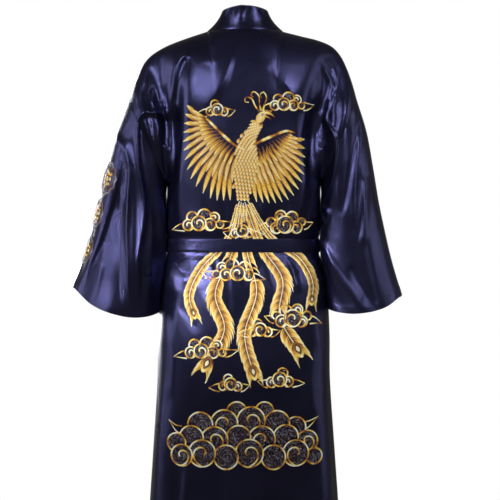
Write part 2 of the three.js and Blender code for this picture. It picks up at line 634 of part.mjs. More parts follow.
// The collar bands
// They stand up from the neck seam at the back, `share` of their width from the seam. `place` is 0 in the
// middle of the back, and 1 and -1 at the left and right neck points.
function standingBand(place, share) {
  const seam = ridgePoint("back", NECK_SHARE * place);
  const along = Math.abs(place);
  const lean = new THREE.Vector3(-0.42 * seam.x, mix(-12, -1, along), mix(55, 47, along ** 3)).normalize();
  const crease = BAND_CREASE.depth * bell(seam.x - BAND_CREASE.x, BAND_CREASE.width) * share;
  const bow = BAND_BOW * Math.sin(Math.PI * share);
  seam.x -= bow * place;
  seam.y += crease - bow * (1 - along);
  return seam.addScaledVector(lean, BAND_WIDTH * share + BAND_FOOT);
}

// From a neck point down it turns over, until it lies in the front's surface past the front's edge.
function fallingBand(side, along, share) {
  const edge = frontEdge(along);
  const seam = frontPoint(side, edge, along);
  const perUnit = seam.distanceTo(frontPoint(side, edge - 0.05, along)) / 0.05;
  const out = BAND_WIDTH * share + SEAM_GAP;
  const flat = frontPoint(side, edge - out / perUnit, along).sub(seam).normalize();
  const upright = new THREE.Vector3(-36 * signOf(side), -1, 47).normalize();
  const turned = ease(along / 0.34);
  seam.x -= signOf(side) * BAND_BOW * Math.sin(Math.PI * share) * (1 - turned);
  const foot = (BAND_FOOT - SEAM_GAP) * (1 - turned);
  return seam.addScaledVector(upright.lerp(flat, turned).normalize(), out + foot);
}

// Both bands in one line, from the left one's foot round the neck to the right one's. They are sewn together
// behind the neck, at the pressed ridge.
function bandLine() {
  const seamPlace = Math.asin(BAND_CREASE.x / NECK.halfWidth) / (Math.PI / 2);
  const neck = steps(NECK_STATIONS);
  const line = [
    ...panelRows.slice(1).reverse().map((along) => (share) => fallingBand("left", along, share)),
    ...neck.toReversed().map((step) => (share) => standingBand(mix(seamPlace, 1, step), share)),
    ...neck.slice(1, -1).map((step) => (share) => standingBand(mix(seamPlace, -1, step), share)),
    ...panelRows.map((along) => (share) => fallingBand("right", along, share)),
  ];
  return line.map((station) => steps(BAND_COLUMNS).map(station));
}

// One band's wall, parted from the other's at their seam.
function collarBand(side) {
  const line = bandLine();
  const lineNormals = gridNormals(line, false, new THREE.Vector3(0, 0, 0));
  const seamRow = panelRows.length - 1 + NECK_STATIONS;
  const ownRows = (rows) => (side === "left" ? rows.slice(0, seamRow + 1) : rows.slice(seamRow));
  const [grid, normals] = [ownRows(line), ownRows(lineNormals)];
  grid.forEach((row, i) => row.forEach((point, j) => point.addScaledVector(normals[i][j], BAND_RAISE)));
  const seam = side === "left" ? grid.at(-1) : grid[0];
  seam.forEach((point) => (point.x += (signOf(side) * SEAM_GAP) / 2));
  return wall(grid, normals, BAND_WALL);
}

// The belt
// A point outside the body's smooth form, `clear` mm out from it.
function outsidePoint(turn, drop, clear) {
  const ahead = ringPoint(turn + 0.5, drop).sub(ringPoint(turn - 0.5, drop));
  const out = new THREE.Vector3(-ahead.y, ahead.x, 0).normalize();
  const point = ringPoint(turn, drop);
  return point.addScaledVector(out, out.dot(point) < 0 ? -clear : clear);
}

const BELT_OUT = BELT_CLEARANCE + BELT_WALL; // from the body's form to the belt's outer face

function belt() {
  const turns = steps(BELT_COLUMNS).slice(0, -1);
  const grid = steps(2).map((share) => {
    const drop = BELT_DROP + (share - 0.5) * BELT_WIDTH;
    return turns.map((share) => outsidePoint(share * 360, drop, BELT_OUT));
  });
  return wall(grid, gridNormals(grid, true, new THREE.Vector3(0, 0, -BELT_DROP)), BELT_WALL, true);
}

// A soft flat knot: a ball whose sides are drawn out towards a box.
function knot() {
  const geometry = new THREE.SphereGeometry(1, 20, 12);
  const places = geometry.attributes.position;
  const centre = outsidePoint(KNOT_TURN, BELT_DROP, BELT_OUT + SEAM_GAP + KNOT.depth / 2);
  const squared = (value) => Math.sign(value) * Math.abs(value) ** 0.65;
  for (let i = 0; i < places.count; i++) {
    const x = centre.x + squared(places.getX(i)) * (KNOT.width / 2);
    const y = centre.y + squared(places.getY(i)) * (KNOT.depth / 2);
    const z = centre.z + squared(places.getZ(i)) * (KNOT.height / 2);
    places.setXYZ(i, x, y, z);
  }
  geometry.computeVertexNormals();
  return geometry;
}

// A belt end: it leaves the knot's lower edge narrowed, spreads to its side and hangs before the front.
function beltTail(side) {
  const sign = signOf(side);
  const top = BELT_DROP + KNOT.height / 2 + TAIL_GAP;
  const grid = steps(TAIL_ROWS).map((share) => {
    const half = (BELT_WIDTH / 2) * mix(0.62, 1, ease(share / 0.25));
    const middle = KNOT_TURN - sign * (6 + 8 * share - 3 * share ** 2);
    const clear = BELT_WALL + TAIL_CLEARANCE[side] + 2 * (1 - ease(share));
    return steps(3).map((across) => {
      const turn = middle + (2 * across - 1) * radToDeg(half / TAIL_RADIUS);
      const wave = 3 * share * Math.sin(9 * share + 2 * across);
      return outsidePoint(turn, top + share * TAIL_LENGTH, clear + wave);
    });
  });
  return wall(grid, gridNormals(grid, false, BODY_HUB), BELT_WALL);
}

// A thread loop on a side seam. It bows out round the belt, and both its feet end at the seam.
function threadLoop(side) {
  const foot = LOOP_THREAD / 2 + SEAM_GAP + 0.2;
  const out = BELT_OUT + LOOP_THREAD / 2 + 0.8;
  const shape = [
    { share: -0.5, clear: foot },
    { share: -0.46, clear: out - 0.6 },
    { share: -0.3, clear: out },
    { share: 0.3, clear: out },
    { share: 0.46, clear: out - 0.6 },
    { share: 0.5, clear: foot },
  ];
  const places = shape.map(({ share, clear }) => {
    return outsidePoint(signOf(side) * 90, BELT_DROP + share * LOOP_REACH, clear);
  });
  const section = new THREE.Shape().absarc(0, 0, LOOP_THREAD / 2, 0, 2 * Math.PI);
  const extrudePath = new THREE.CatmullRomCurve3(places, false, "centripetal");
  return new THREE.ExtrudeGeometry(section, { steps: 14, extrudePath, curveSegments: 3 });
}

// The robe
const robe = new THREE.Group();

function add(name, geometry, material) {
  const mesh = new THREE.Mesh(geometry, material);
  mesh.name = name;
  robe.add(mesh);
}

add("back_panel", backPanel(), satin);
for (const side of ["left", "right"]) {
  add("front_" + side, frontPanel(side), satin);
  add("sleeve_" + side, sleeve(side), satin);
  add("belt_tail_" + side, beltTail(side), beltSatin);
  add("belt_loop_" + side, threadLoop(side), thread);
  add("collar_band_" + side, collarBand(side), bandSatin);
}
add("belt", belt(), beltSatin);
add("belt_knot", knot(), beltSatin);

export default robe;
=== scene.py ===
"""A navy satin kimono robe in its worn form, with an embroidered back, seen from behind."""
import json
import math

import bpy
import numpy as np
from bpy.props import FloatProperty, FloatVectorProperty, IntProperty, PointerProperty
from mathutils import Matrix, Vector, noise
from mathutils.bvhtree import BVHTree

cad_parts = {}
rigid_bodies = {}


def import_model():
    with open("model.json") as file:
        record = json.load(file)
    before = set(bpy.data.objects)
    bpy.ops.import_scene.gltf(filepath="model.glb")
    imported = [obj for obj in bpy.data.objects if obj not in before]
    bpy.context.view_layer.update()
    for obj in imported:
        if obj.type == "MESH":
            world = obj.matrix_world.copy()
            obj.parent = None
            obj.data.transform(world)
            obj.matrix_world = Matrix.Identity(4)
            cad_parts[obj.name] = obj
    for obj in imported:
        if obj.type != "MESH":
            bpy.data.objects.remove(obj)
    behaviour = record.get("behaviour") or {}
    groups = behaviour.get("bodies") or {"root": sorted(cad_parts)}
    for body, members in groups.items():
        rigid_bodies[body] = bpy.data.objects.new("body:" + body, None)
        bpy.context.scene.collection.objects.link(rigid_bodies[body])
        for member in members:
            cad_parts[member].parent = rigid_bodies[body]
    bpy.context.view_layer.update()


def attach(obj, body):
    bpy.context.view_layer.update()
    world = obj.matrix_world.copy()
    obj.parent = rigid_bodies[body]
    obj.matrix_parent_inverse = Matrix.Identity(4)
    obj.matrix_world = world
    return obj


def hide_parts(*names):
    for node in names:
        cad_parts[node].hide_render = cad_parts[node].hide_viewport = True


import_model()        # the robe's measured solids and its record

bl_info = {
    "name": "Kimono Robe",
    "version": (1, 0, 0),
    "blender": (4, 5, 0),
    "location": "3D View > Sidebar > Robe",
    "description": "Makes a satin kimono robe with an embroidered back, piece by piece",
    "category": "Object",
}

BODY_NAME = "root"
MM = 0.001  # the robe's sizes are in millimetres, and Blender's in metres
FULL_TURN = 2 * math.pi
SIDES = ("left", "right")

# Driving sizes of the robe, in millimetres. Drops are measured down from the neck points.
HEM_DROP = 1250
UNDERARM_DROP = 350
BELT_DROP = 491
BELT_WIDTH = 30
BAND_WIDTH = 55  # of a collar band
WALL = 1.1
BAND_WALL = 2.4  # double cloth
BAND_RAISE = 0.8  # how far a band stands out from the panel beside it
BAND_FOOT = 1.2  # from the neck seam up to a band
BAND_BOW = 5  # how far a standing band is hollow
BELT_WALL = 2
SEAM_GAP = 0.5  # between two pieces at a seam
ALLOWANCE = 1.9  # how far inside a front's outer face the back's turned edge lies
SLEEVE_CLEARANCE = 2.5  # from the body's cloth to a sleeve that hangs against it
LOOP_CLEARANCE = 6  # more of the same, past the belt's loops
CONTACT_SOFTNESS = 4  # how gradually a sleeve turns to follow the body
SLEEVE_WRAP = 20  # how far a sleeve's inner side would reach into the body
LAP_INSET = 5  # how far the right front lies inside the left one
BELT_CLEARANCE = 1.6  # from the cloth to the belt
BELT_OUT = BELT_CLEARANCE + BELT_WALL  # from the body's form to the belt's outer face
TAIL_LENGTH = 330  # each end of the belt
KNOT = {"height": 36, "depth": 16}
TAIL_CLEARANCE = {"left": 11, "right": 7}  # from the front to each end, which lie over each other
TAIL_RADIUS = 122  # of the body under the ends
TAIL_GAP = 0.2  # below the knot
KNOT_TURN = 180  # the middle of the front
LOOP_THREAD = 2.4
LOOP_REACH = 46  # from a loop's upper foot to its lower one
FOLD_FADE = 0.28  # the part of a fold's length over which it rises or dies away
SHOULDER_ROUND = 0.5  # the part of the yoke's height in which back and front leave the ridge
SPREAD = 1.8  # how soon below the neck the cloth is as wide as lower down; 1 is evenly
RIDGE_POWER = {"neck": 1.55, "shoulder": 2}  # how squarely the cloth turns down from the ridge
NECK_SHARE = 0.3  # the part of a half panel's top edge that is neck seam
NECK = {"half_width": 86, "back_reach": 62, "back_rise": 2, "point_rise": 3}
BAND_CREASE = {"x": 14, "width": 15, "depth": 6}  # the pressed ridge at the seam of the two bands
RING_POWER = 2.35  # 2 is an ellipse; more is squarer
CHEST = np.array((0.0, 0.0, -200.0))  # above the underarms, outwards is away from here
BODY_HUB = np.array((0.0, 0.0, -500.0))  # the outer faces of the body's meshes look away from here
SIDE_TRIM = SEAM_GAP / 2 / 240  # half a seam's parting, as a share of a half panel
BAND_LAP = 2.6  # how far a band reaches over the neck seam
BAND_SEAM_GAP = 0.1
LOOP_ROOM = {"drop": 34, "turn": 30}  # how far round a belt loop a sleeve keeps clear of it
HEM = {"turn": 26, "step": 0.6, "ramp": 4}  # turned hems: how deep, how far they stand out and how softly
SLEEVE_LENGTH = 500  # about, at its longest
RIDGE_LENGTH = 430  # a sleeve's length along its outer edge
BELT_PRESS = {"creases": 24, "ripples": 26}  # how far from its middle the belt presses them flat

# The camera's view from behind: how far off it is, the width that it shows, the middle of the view across and
# down, and the units that its creases are drawn in, across the view
VIEW = {"distance": 3800, "width": 1155, "side": -11.5, "drop": 501, "units": 500}

# How finely the cloth is divided
BACK_COLUMNS = 156
FRONT_COLUMNS = 72
YOKE_ROWS = 96
SKIRT_ROWS = 120
BAND_COLUMNS = 12
NECK_STATIONS = 40
BELT_STATIONS = 360
BELT_SIDES = 28
TAIL_ROWS = 90
TAIL_COLUMNS = 14
KNOT_STATIONS = 48
LOOP_STATIONS = 40
HEM_ROW = -4  # the row of a panel that its turned hem is sewn along
CUFF_ROW = -6  # and that of a sleeve
SLEEVE_COLUMNS = 390
SLEEVE_BACK_SHARE = 0.72  # of the columns, those on the half that faces backwards
SLEEVE_ROWS = 100
YOKE_CROWDING = 0.45  # how much the yoke's rows crowd towards its ends; 1 is as on a half turn
BELT_CROWDING = {"more": 1.2, "reach": 90}  # how much denser the rows are at the belt, and over what height


def table(columns, *rows):
    """The rows as a dictionary of named columns."""
    names = columns.split()
    return {name: [row[i] for row in rows] for i, name in enumerate(names)}


# The body's sections: half widths to each side, and depths behind and before the middle.
BODY = table(
    "drop left right back front",
    (150, 172, 168, 120, 112),
    (250, 176, 172, 124, 121),
    (350, 179, 174, 123, 124),
    (420, 182, 174, 117, 121),
    (456, 184, 175, 111, 117),
    (472, 180, 171, 105, 111),
    (510, 180, 171, 105, 111),
    (526, 185, 177, 111, 117),
    (600, 195, 190, 127, 123),
    (690, 200, 195, 134, 125),
    (800, 202, 196, 130, 126),
    (965, 212, 207, 127, 130),
    (1080, 219, 215, 131, 135),
    (1250, 228, 224, 139, 143),
)
SHOULDER = {
    "left": table(
        "x drop",
        (87, -3), (136, 13), (180, 30), (215, 51), (234, 72), (246, 96), (257, 122), (269, 154),
    ),
    "right": table(
        "x drop",
        (87, -3), (131, 8), (168, 17), (200, 31), (220, 52), (236, 84), (248, 118), (258, 154),
    ),
}
SLEEVE_OUTER = {
    "left": table(
        "drop x",
        (154, 269), (233, 299), (300, 319), (400, 342), (483, 362), (533, 379), (582, 398),
    ),
    "right": table(
        "drop x",
        (154, 258), (228, 280), (306, 295), (394, 310), (474, 327), (533, 341), (604, 362),
    ),
}
SLEEVE_INNER = {
    "left": table("drop x", (350, 179), (420, 188), (500, 193), (560, 199), (620, 207)),
    "right": table("drop x", (350, 174), (420, 180), (500, 185), (560, 193), (620, 203)),
}
# The cuff's edge: round is 0 on the sleeve's outer edge and 0.5 on its inner side.
CUFF = {
    "left": table(
        "round drop",
        (0, 582), (0.08, 594), (0.17, 625), (0.25, 644), (0.33, 654), (0.42, 644), (0.5, 620),
    ),
    "right": table(
        "round drop",
        (0, 604), (0.08, 611), (0.17, 630), (0.25, 641), (0.33, 645), (0.42, 636), (0.5, 620),
    ),
}
SLEEVE_DEPTH = table("along back front", (0, 72, 72), (0.3, 76, 74), (0.65, 84, 80), (1, 92, 86))
YOKE = {
    "back": table(
        "across depth",
        (0, 119), (0.2, 118), (0.4, 111), (0.54, 92), (0.64, 58), (0.72, 50), (0.82, 68),
        (0.92, 77), (1, 72),
    ),
    "front": table(
        "across depth",
        (-0.4, 104), (0, 112), (0.2, 111), (0.4, 103), (0.54, 85), (0.64, 60), (0.72, 54),
        (0.82, 66), (0.92, 75), (1, 72),
    ),
}
FRONT_EDGE = table(
    "along across",
    (0, 0.3), (0.2, 0.3), (0.5, 0.28), (0.8, 0.17), (1, 0.03), (1.1, -0.1), (1.18, -0.2),
    (1.4, -0.27), (2, -0.3),
)

# Folds of the body. Turns are angles round it in degrees: 0 is the middle of the back, 90 the left side.
FOLD_COLUMNS = "begin finish start middle end width depth"
BODY_FOLDS = table(
    FOLD_COLUMNS,
    (40, 440, 30, 54, 68, 6, 5),
    (45, 450, 40, 63, 79, 4, -9),
    (40, 330, 48, 66, 76, 4, 8),
    (110, 330, 72, 75, 83, 4, -6),
    (100, 300, 82, 80, 88, 4, 5),
    (90, 440, -30, -48, -62, 6, 4),
    (60, 430, -50, -58, -70, 4, -8),
    (35, 330, -52, -66, -80, 4, 7),
    (70, 300, -74, -74, -84, 4, -5),
    (330, 463, 66, 63, 58, 4, 4),
    (340, 463, 32, 29, 24, 5, 2.5),
    (360, 463, 8, 6, 5, 4, -2),
    (350, 463, -36, -33, -28, 5, 2.5),
    (330, 463, -76, -68, -60, 4, 5),
    (519, 720, 50, 54, 62, 4.5, 5),
    (519, 640, 36, 34, 31, 4, 3),
    (519, 660, 20, 17, 13, 4, -3),
    (519, 650, -15, -14, -11, 4, 3),
    (519, 690, -34, -38, -43, 4, -4),
    (519, 740, -54, -58, -64, 4.5, 5),
    (700, 1700, 74, 70, 67, 6, 8),
    (760, 1700, 56, 57, 57, 6, -7),
    (850, 1700, 40, 42, 44, 6, 6),
    (820, 1700, 22, 26, 28, 7, -5),
    (900, 1700, 8, 9, 10, 7, 5),
    (850, 1700, -8, -9, -10, 6, -5),
    (900, 1700, -27, -29, -30, 7, 6),
    (800, 1700, -46, -47, -48, 6, -7),
    (760, 1700, -62, -64, -65, 6, 8),
    (700, 1700, -77, -79, -80, 5, -5),
    (60, 350, 124, 118, 108, 6.5, -8),
    (60, 350, -124, -118, -108, 6.5, -8),
    (60, 330, 132, 128, 120, 7, 5),
    (60, 330, -132, -128, -120, 7, 5),
    (280, 463, 112, 122, 130, 7, 4),
    (280, 463, -112, -120, -128, 7, 4),
    (519, 850, 132, 127, 122, 7, 5),
    (519, 800, 152, 149, 146, 7, -4),
    (519, 780, -152, -148, -144, 7, -4),
    (519, 880, -126, -121, -116, 7, 5),
    (820, 1700, 148, 147, 146, 7, 5),
    (850, 1700, 128, 127, 126, 7, -6),
    (780, 1700, 110, 108, 106, 7.5, 8),
    (840, 1700, -150, -149, -148, 7, 5),
    (880, 1700, -131, -130, -129, 7, -6),
    (780, 1700, -112, -110, -108, 7.5, 8),
)
FOLD_SHARE = {"back": 0.4, "sleeve top": 0.12, "cuff": 0.3}  # the rest of the folds is in the finer creases
# Folds of the sleeves, in turns round them: 0 is the outer edge, 0.25 the back, 0.5 the inner side.
SLEEVE_FOLDS = {
    "left": table(
        FOLD_COLUMNS,
        (0.0, 1.3, 0.11, 0.125, 0.08, 0.03, 5),
        (0.1, 1.2, 0.15, 0.19, 0.21, 0.035, -5),
        (0.0, 1.0, 0.13, 0.25, 0.3, 0.029, 8),
        (-0.1, 0.98, 0.17, 0.278, 0.316, 0.029, -7),
        (-0.3, 1.05, 0.15, 0.305, 0.337, 0.029, 10),
        (-0.2, 1.2, 0.3, 0.375, 0.4, 0.032, -12),
        (0.2, 1.3, 0.7, 0.67, 0.65, 0.03, 8),
        (0.1, 1.1, 0.77, 0.73, 0.71, 0.03, -8),
        (0.0, 1.3, 0.84, 0.84, 0.86, 0.035, 6),
        (-0.2, 1.0, 0.64, 0.6, 0.58, 0.032, -11),
    ),
    "right": table(
        FOLD_COLUMNS,
        (-0.1, 1.2, 0.13, 0.19, 0.2, 0.03, 6),
        (0.1, 1.2, 0.2, 0.25, 0.24, 0.029, -6),
        (0.05, 0.7, 0.24, 0.29, 0.31, 0.029, 4),
        (-0.25, 0.45, 0.24, 0.3, 0.42, 0.029, 9),
        (0.3, 1.2, 0.47, 0.34, 0.2, 0.029, 10),
        (0.35, 1.25, 0.52, 0.4, 0.27, 0.03, -11),
        (-0.2, 0.6, 0.3, 0.37, 0.42, 0.028, -8),
        (0.2, 1.3, 0.7, 0.68, 0.66, 0.03, 8),
        (0.1, 1.1, 0.78, 0.75, 0.73, 0.03, -7),
        (0.0, 1.3, 0.87, 0.85, 0.86, 0.035, 5),
        (-0.2, 1.0, 0.63, 0.59, 0.57, 0.032, -10),
    ),
}


# Small tools
def clamp(t):
    return np.clip(t, 0, 1)


def ease(t):
    t = clamp(t)
    return t * t * (3 - 2 * t)


def mix(a, b, t):
    return a + (b - a) * t


def bell(distance, width):
    return np.exp(-((distance / width) ** 2))


def sign_of(side):
    return 1 if side == "left" else -1


def points(x, y, z):
    return np.stack(np.broadcast_arrays(x, y, z), axis=-1).astype(float)


def length(vectors):
    return np.linalg.norm(vectors, axis=-1)


def unit(vectors):
    return vectors / np.maximum(length(vectors), 1e-9)[..., None]


def scaled(vectors, factor):
    return vectors * np.asarray(factor)[..., None]


def distances(path):
    """How far along a path each of its points is."""
    return np.concatenate([[0], np.cumsum(length(np.diff(path, axis=0)))])


def away(directions, places):
    """The directions, turned round where they point inwards at their places round a hub."""
    inwards = np.sum(directions * places, axis=-1) < 0
    return np.where(inwards[..., None], -directions, directions)


def by_side(curves, x, at):
    """What the right side's curve gives where x is below 0, and the left side's elsewhere."""
    return np.where(x < 0, curves["right"](at), curves["left"](at))


def curve(rows, source, target):
    """A smooth curve through the rows of a table, from one column to another."""
    xs = np.array(rows[source], float)
    ys = np.array(rows[target], float)
    last = len(xs) - 1
    before = np.maximum(np.arange(last + 1) - 1, 0)
    after = np.minimum(np.arange(last + 1) + 1, last)
    slopes = (ys[after] - ys[before]) / (xs[after] - xs[before])

    def at(x):
        x = np.asarray(x, float)
        i = np.clip(np.searchsorted(xs, x) - 1, 0, last - 1)
        h = xs[i + 1] - xs[i]
        t = clamp((x - xs[i]) / h)
        start = (1 + 2 * t) * (1 - t) ** 2 * ys[i] + t * (1 - t) ** 2 * h * slopes[i]
        end = t * t * (3 - 2 * t) * ys[i + 1] + t * t * (t - 1) * h * slopes[i + 1]
        past = np.minimum(x - xs[0], 0) * slopes[0] + np.maximum(x - xs[last], 0) * slopes[last]
        return start + end + past

    return at


def both_sides(tables, source, target):
    return {side: curve(tables[side], source, target) for side in SIDES}


def with_share(rows):
    """The same rows with a column that grows from 0 to 1 along the line that they draw."""
    lengths = distances(np.stack([rows["x"], rows["drop"]], axis=-1))
    return {**rows, "share": list(lengths / lengths[-1])}


shoulder = {side: with_share(rows) for side, rows in SHOULDER.items()}
ridge_x = both_sides(shoulder, "share", "x")
ridge_drop = both_sides(shoulder, "share", "drop")
body_width = {side: curve(BODY, "drop", side) for side in SIDES}
body_depth = {face: curve(BODY, "drop", face) for face in ("back", "front")}
yoke_depth = {face: curve(YOKE[face], "across", "depth") for face in ("back", "front")}
front_edge = curve(FRONT_EDGE, "along", "across")
sleeve_outer = both_sides(SLEEVE_OUTER, "drop", "x")
sleeve_inner = both_sides(SLEEVE_INNER, "drop", "x")
cuff_drop = both_sides(CUFF, "round", "drop")
sleeve_depth = {face: curve(SLEEVE_DEPTH, "along", face) for face in ("back", "front")}


def fold_sum(folds, turn, distance, full):
    """The sum of a table's folds at each place. full is one whole turn in the table's measure."""
    total = np.zeros(np.broadcast(turn, distance).shape)
    for begin, finish, start, middle, end, width, depth in zip(*folds.values()):
        share = (distance - begin) / (finish - begin)
        place = np.where(share < 0.5, mix(start, middle, share * 2), mix(middle, end, share * 2 - 1))
        apart = np.abs(turn - place) % full
        fade = ease(share / FOLD_FADE) * ease((1 - share) / FOLD_FADE)
        total = total + depth * fade * bell(np.minimum(apart, full - apart), width)
    return total


def ring_point(turn, drop):
    """Points of the closed sections round the body, at turns in degrees and drops."""
    sine, cosine = np.sin(np.radians(turn)), np.cos(np.radians(turn))
    width = by_side(body_width, sine, drop)
    depth = np.where(cosine > 0, body_depth["back"](drop), body_depth["front"](drop))
    total = (np.abs(sine) / width) ** RING_POWER + (np.abs(cosine) / depth) ** RING_POWER
    reach = total ** (-1 / RING_POWER)
    return points(reach * sine, reach * cosine, -drop * np.ones_like(reach))


def ridge_point(face, across):
    """Points of a panel's top edge: the neck seam, then the ridge of the shoulder."""
    share = np.abs(across)
    sign = np.where(across < 0, -1, 1)
    along = (share - NECK_SHARE) / (1 - NECK_SHARE)
    out, drop = by_side(ridge_x, across, along), by_side(ridge_drop, across, along)
    ridge = points(sign * out, 0 * out, -drop)
    if face == "front":
        neck = points(across / NECK_SHARE * NECK["half_width"], 0 * out, NECK["point_rise"])
    else:
        turn = np.minimum(share / NECK_SHARE, 1) * (math.pi / 2)
        rise = mix(NECK["point_rise"], NECK["back_rise"], np.cos(turn))
        neck = points(sign * NECK["half_width"] * np.sin(turn), NECK["back_reach"] * np.cos(turn), rise)
    return np.where((share >= NECK_SHARE)[..., None], ridge, neck)


def turn_of(face, across):
    return across * 90 if face == "back" else 180 - across * 90


def form_point(face, across, along):
    """Points of the smooth back or front. along is 0 on the ridge, 1 at the underarm, 2 at the hem."""
    across, along = np.broadcast_arrays(np.asarray(across, float), np.asarray(along, float))
    turn = turn_of(face, across)
    skirt = ring_point(turn, mix(UNDERARM_DROP, HEM_DROP, along - 1))
    top = ridge_point(face, across)
    foot = ring_point(turn, np.full(along.shape, float(UNDERARM_DROP)))
    share = np.abs(across)
    upper = clamp(along)
    spread = mix(SPREAD, 1, ease((share - 0.7) / 0.3))
    x = mix(top[..., 0], foot[..., 0], 1 - (1 - upper) ** spread)
    z = mix(top[..., 2], foot[..., 2], upper)
    power = mix(RIDGE_POWER["neck"], RIDGE_POWER["shoulder"], ease(share / NECK_SHARE))
    high = np.minimum(1, upper / SHOULDER_ROUND)
    rise = (1 - (1 - high) ** power) ** (1 / power)
    low = np.maximum(0, (upper - 0.5) / 0.5)
    armhole = ease((share - 0.8) / 0.2)
    settle = mix(ease(low), 1 - np.sqrt(np.maximum(0, 1 - low * low)), armhole)
    ring_depth = ring_point(turn, np.maximum(BODY["drop"][0], -z))[..., 1]
    middle_depth = (1 if face == "back" else -1) * yoke_depth[face](share)
    y = mix(top[..., 1], mix(middle_depth, ring_depth, settle), rise)
    return np.where((along >= 1)[..., None], skirt, points(x, y, z))


def outward(surface, u, v, step, hub):
    """The directions out of a smooth surface, away from a hub."""
    along_u = surface(u + step, v) - surface(u - step, v)
    along_v = surface(u, v + step) - surface(u, np.maximum(0, v - step))
    return away(unit(np.cross(along_u, along_v)), surface(u, v) - hub)


def cloth_point(face, across, along, inset=0.0, extra=None, fold_share=1.0):
    """Points of the finished back or front, with its folds, moved in by inset."""
    across, along = np.broadcast_arrays(np.asarray(across, float), np.asarray(along, float))
    form = form_point(face, across, along)
    below = along >= 1
    hub = points(0, 0, np.where(below, form[..., 2], CHEST[2]))
    out = outward(lambda u, v: form_point(face, u, v), across, along, 1e-3, hub)
    seam_ease = ease((1 - np.abs(across)) / 0.08) * ease(along / 0.12)
    turn = turn_of(face, across)
    lift = fold_share * fold_sum(BODY_FOLDS, turn, -form[..., 2], 360)
    if extra:
        lift = lift + extra(turn, -form[..., 2], form)
    return form + scaled(out, lift * seam_ease - inset)


def lap_inset(across, along):
    """How far in the right front lies, so that the left front covers it."""
    return LAP_INSET * ease((0.74 - across) / 0.2) * ease((along - 0.25) / 0.35)


def front_point(side, across, along, extra=None):
    """Points of a front. across counts from the middle towards the front's own side."""
    inset = 0.0 if side == "left" else lap_inset(across, along)
    return cloth_point("front", sign_of(side) * across, along, inset, extra)


def clear_of_body(places):
    """Moves a sleeve's points out from the body until they are just clear of it and of the belt's loops."""
    turn = np.degrees(np.arctan2(places[..., 0], places[..., 1]))
    drop = -places[..., 2]
    from_loop = bell(drop - BELT_DROP, LOOP_ROOM["drop"]) * bell(np.abs(turn) - 90, LOOP_ROOM["turn"])
    ring = length(ring_point(turn, drop)[..., :2])
    skin = ring + np.maximum(0, fold_sum(BODY_FOLDS, turn, drop, 360))
    reach = np.hypot(places[..., 0], places[..., 1])
    over = skin + SLEEVE_CLEARANCE + LOOP_CLEARANCE * from_loop - reach
    soft = CONTACT_SOFTNESS
    push = np.where(over > soft, over, (over + soft) ** 2 / (4 * soft))
    scale = np.where(over < -soft, 1, (reach + push) / reach)
    return places * points(scale, scale, np.ones_like(scale))


def sleeve_ring(side, turn, along):
    """Points of a sleeve's sections. turn is 0 on the outer edge, 0.25 at the back, 0.5 on the inner side."""
    cuff_outer, cuff_inner = CUFF[side]["drop"][0], CUFF[side]["drop"][-1]
    outer_drop = mix(SLEEVE_OUTER[side]["drop"][0], cuff_outer, along)
    inner_drop = mix(UNDERARM_DROP, cuff_inner, along)
    cosine, sine = np.cos(turn * FULL_TURN), np.sin(turn * FULL_TURN)
    power = np.where(cosine > 0, mix(2, 1.75, ease(along / 0.7)), mix(2, 2.5, ease(along / 0.5)))
    reach = (np.abs(cosine) ** power + np.abs(sine) ** power) ** (-1 / power)
    level = (1 + reach * cosine) / 2
    wrap = SLEEVE_WRAP * ease(along / 0.35) * np.maximum(0, -reach * cosine) ** 1.5
    x = mix(sleeve_inner[side](inner_drop), sleeve_outer[side](outer_drop), level) - wrap
    deep = np.where(sine > 0, sleeve_depth["back"](along), sleeve_depth["front"](along))
    to_cuff_line = cuff_drop[side](np.minimum(turn, 1 - turn)) - mix(cuff_inner, cuff_outer, level)
    drop = mix(inner_drop, outer_drop, level) + to_cuff_line * along ** 2
    return points(sign_of(side) * x, reach * sine * deep, -drop)


def armhole_point(side, turn):
    along = (1 - np.cos(turn * FULL_TURN)) / 2
    edge = np.full(turn.shape, float(sign_of(side)))
    at_back, at_front = form_point("back", edge, along), form_point("front", edge, along)
    return np.where((turn <= 0.5)[..., None], at_back, at_front)


def sleeve_form(side, turn, along):
    """The smooth sleeve: its sections, led from the armhole's line over the upper part of its length."""
    turn, along = np.broadcast_arrays(np.asarray(turn, float) % 1, np.asarray(along, float))
    miss = armhole_point(side, turn) - sleeve_ring(side, turn, np.zeros(along.shape))
    return sleeve_ring(side, turn, along) + scaled(miss, (1 - clamp(along / 0.6)) ** 2)


def arm_centre(side, along):
    return (sleeve_form(side, 0.0, along) + sleeve_form(side, 0.5, along)) / 2


def sleeve_point(side, turn, along, extra=None):
    """Points of a finished sleeve, with its folds, just clear of the body."""
    turn, along = np.broadcast_arrays(np.asarray(turn, float), np.asarray(along, float))
    form = sleeve_form(side, turn, along)
    out = outward(lambda u, v: sleeve_form(side, u, v), turn, along, 2e-3, arm_centre(side, along))
    lift = fold_sum(SLEEVE_FOLDS[side], turn, along, 1)
    if extra:
        calm = mix(FOLD_SHARE["sleeve top"], FOLD_SHARE["cuff"], ease(along / 0.6))
        lift = lift * calm + extra(turn % 1, along, form)
    folded = form + scaled(out, lift * ease(along / 0.12))
    share = ease(along / 0.1)[..., None]
    result = form * (1 - share) + clear_of_body(folded) * share
    if extra:
        result[..., 1] += seen_lift(result)
    return result


def outside_point(turn, drop, clear):
    """Points outside the body's smooth form, clear mm out from it."""
    turn, drop, clear = np.broadcast_arrays(
        np.asarray(turn, float), np.asarray(drop, float), np.asarray(clear, float)
    )
    ahead = ring_point(turn + 0.5, drop) - ring_point(turn - 0.5, drop)
    place = ring_point(turn, drop)
    return place + scaled(away(unit(points(-ahead[..., 1], ahead[..., 0], 0 * drop)), place), clear)


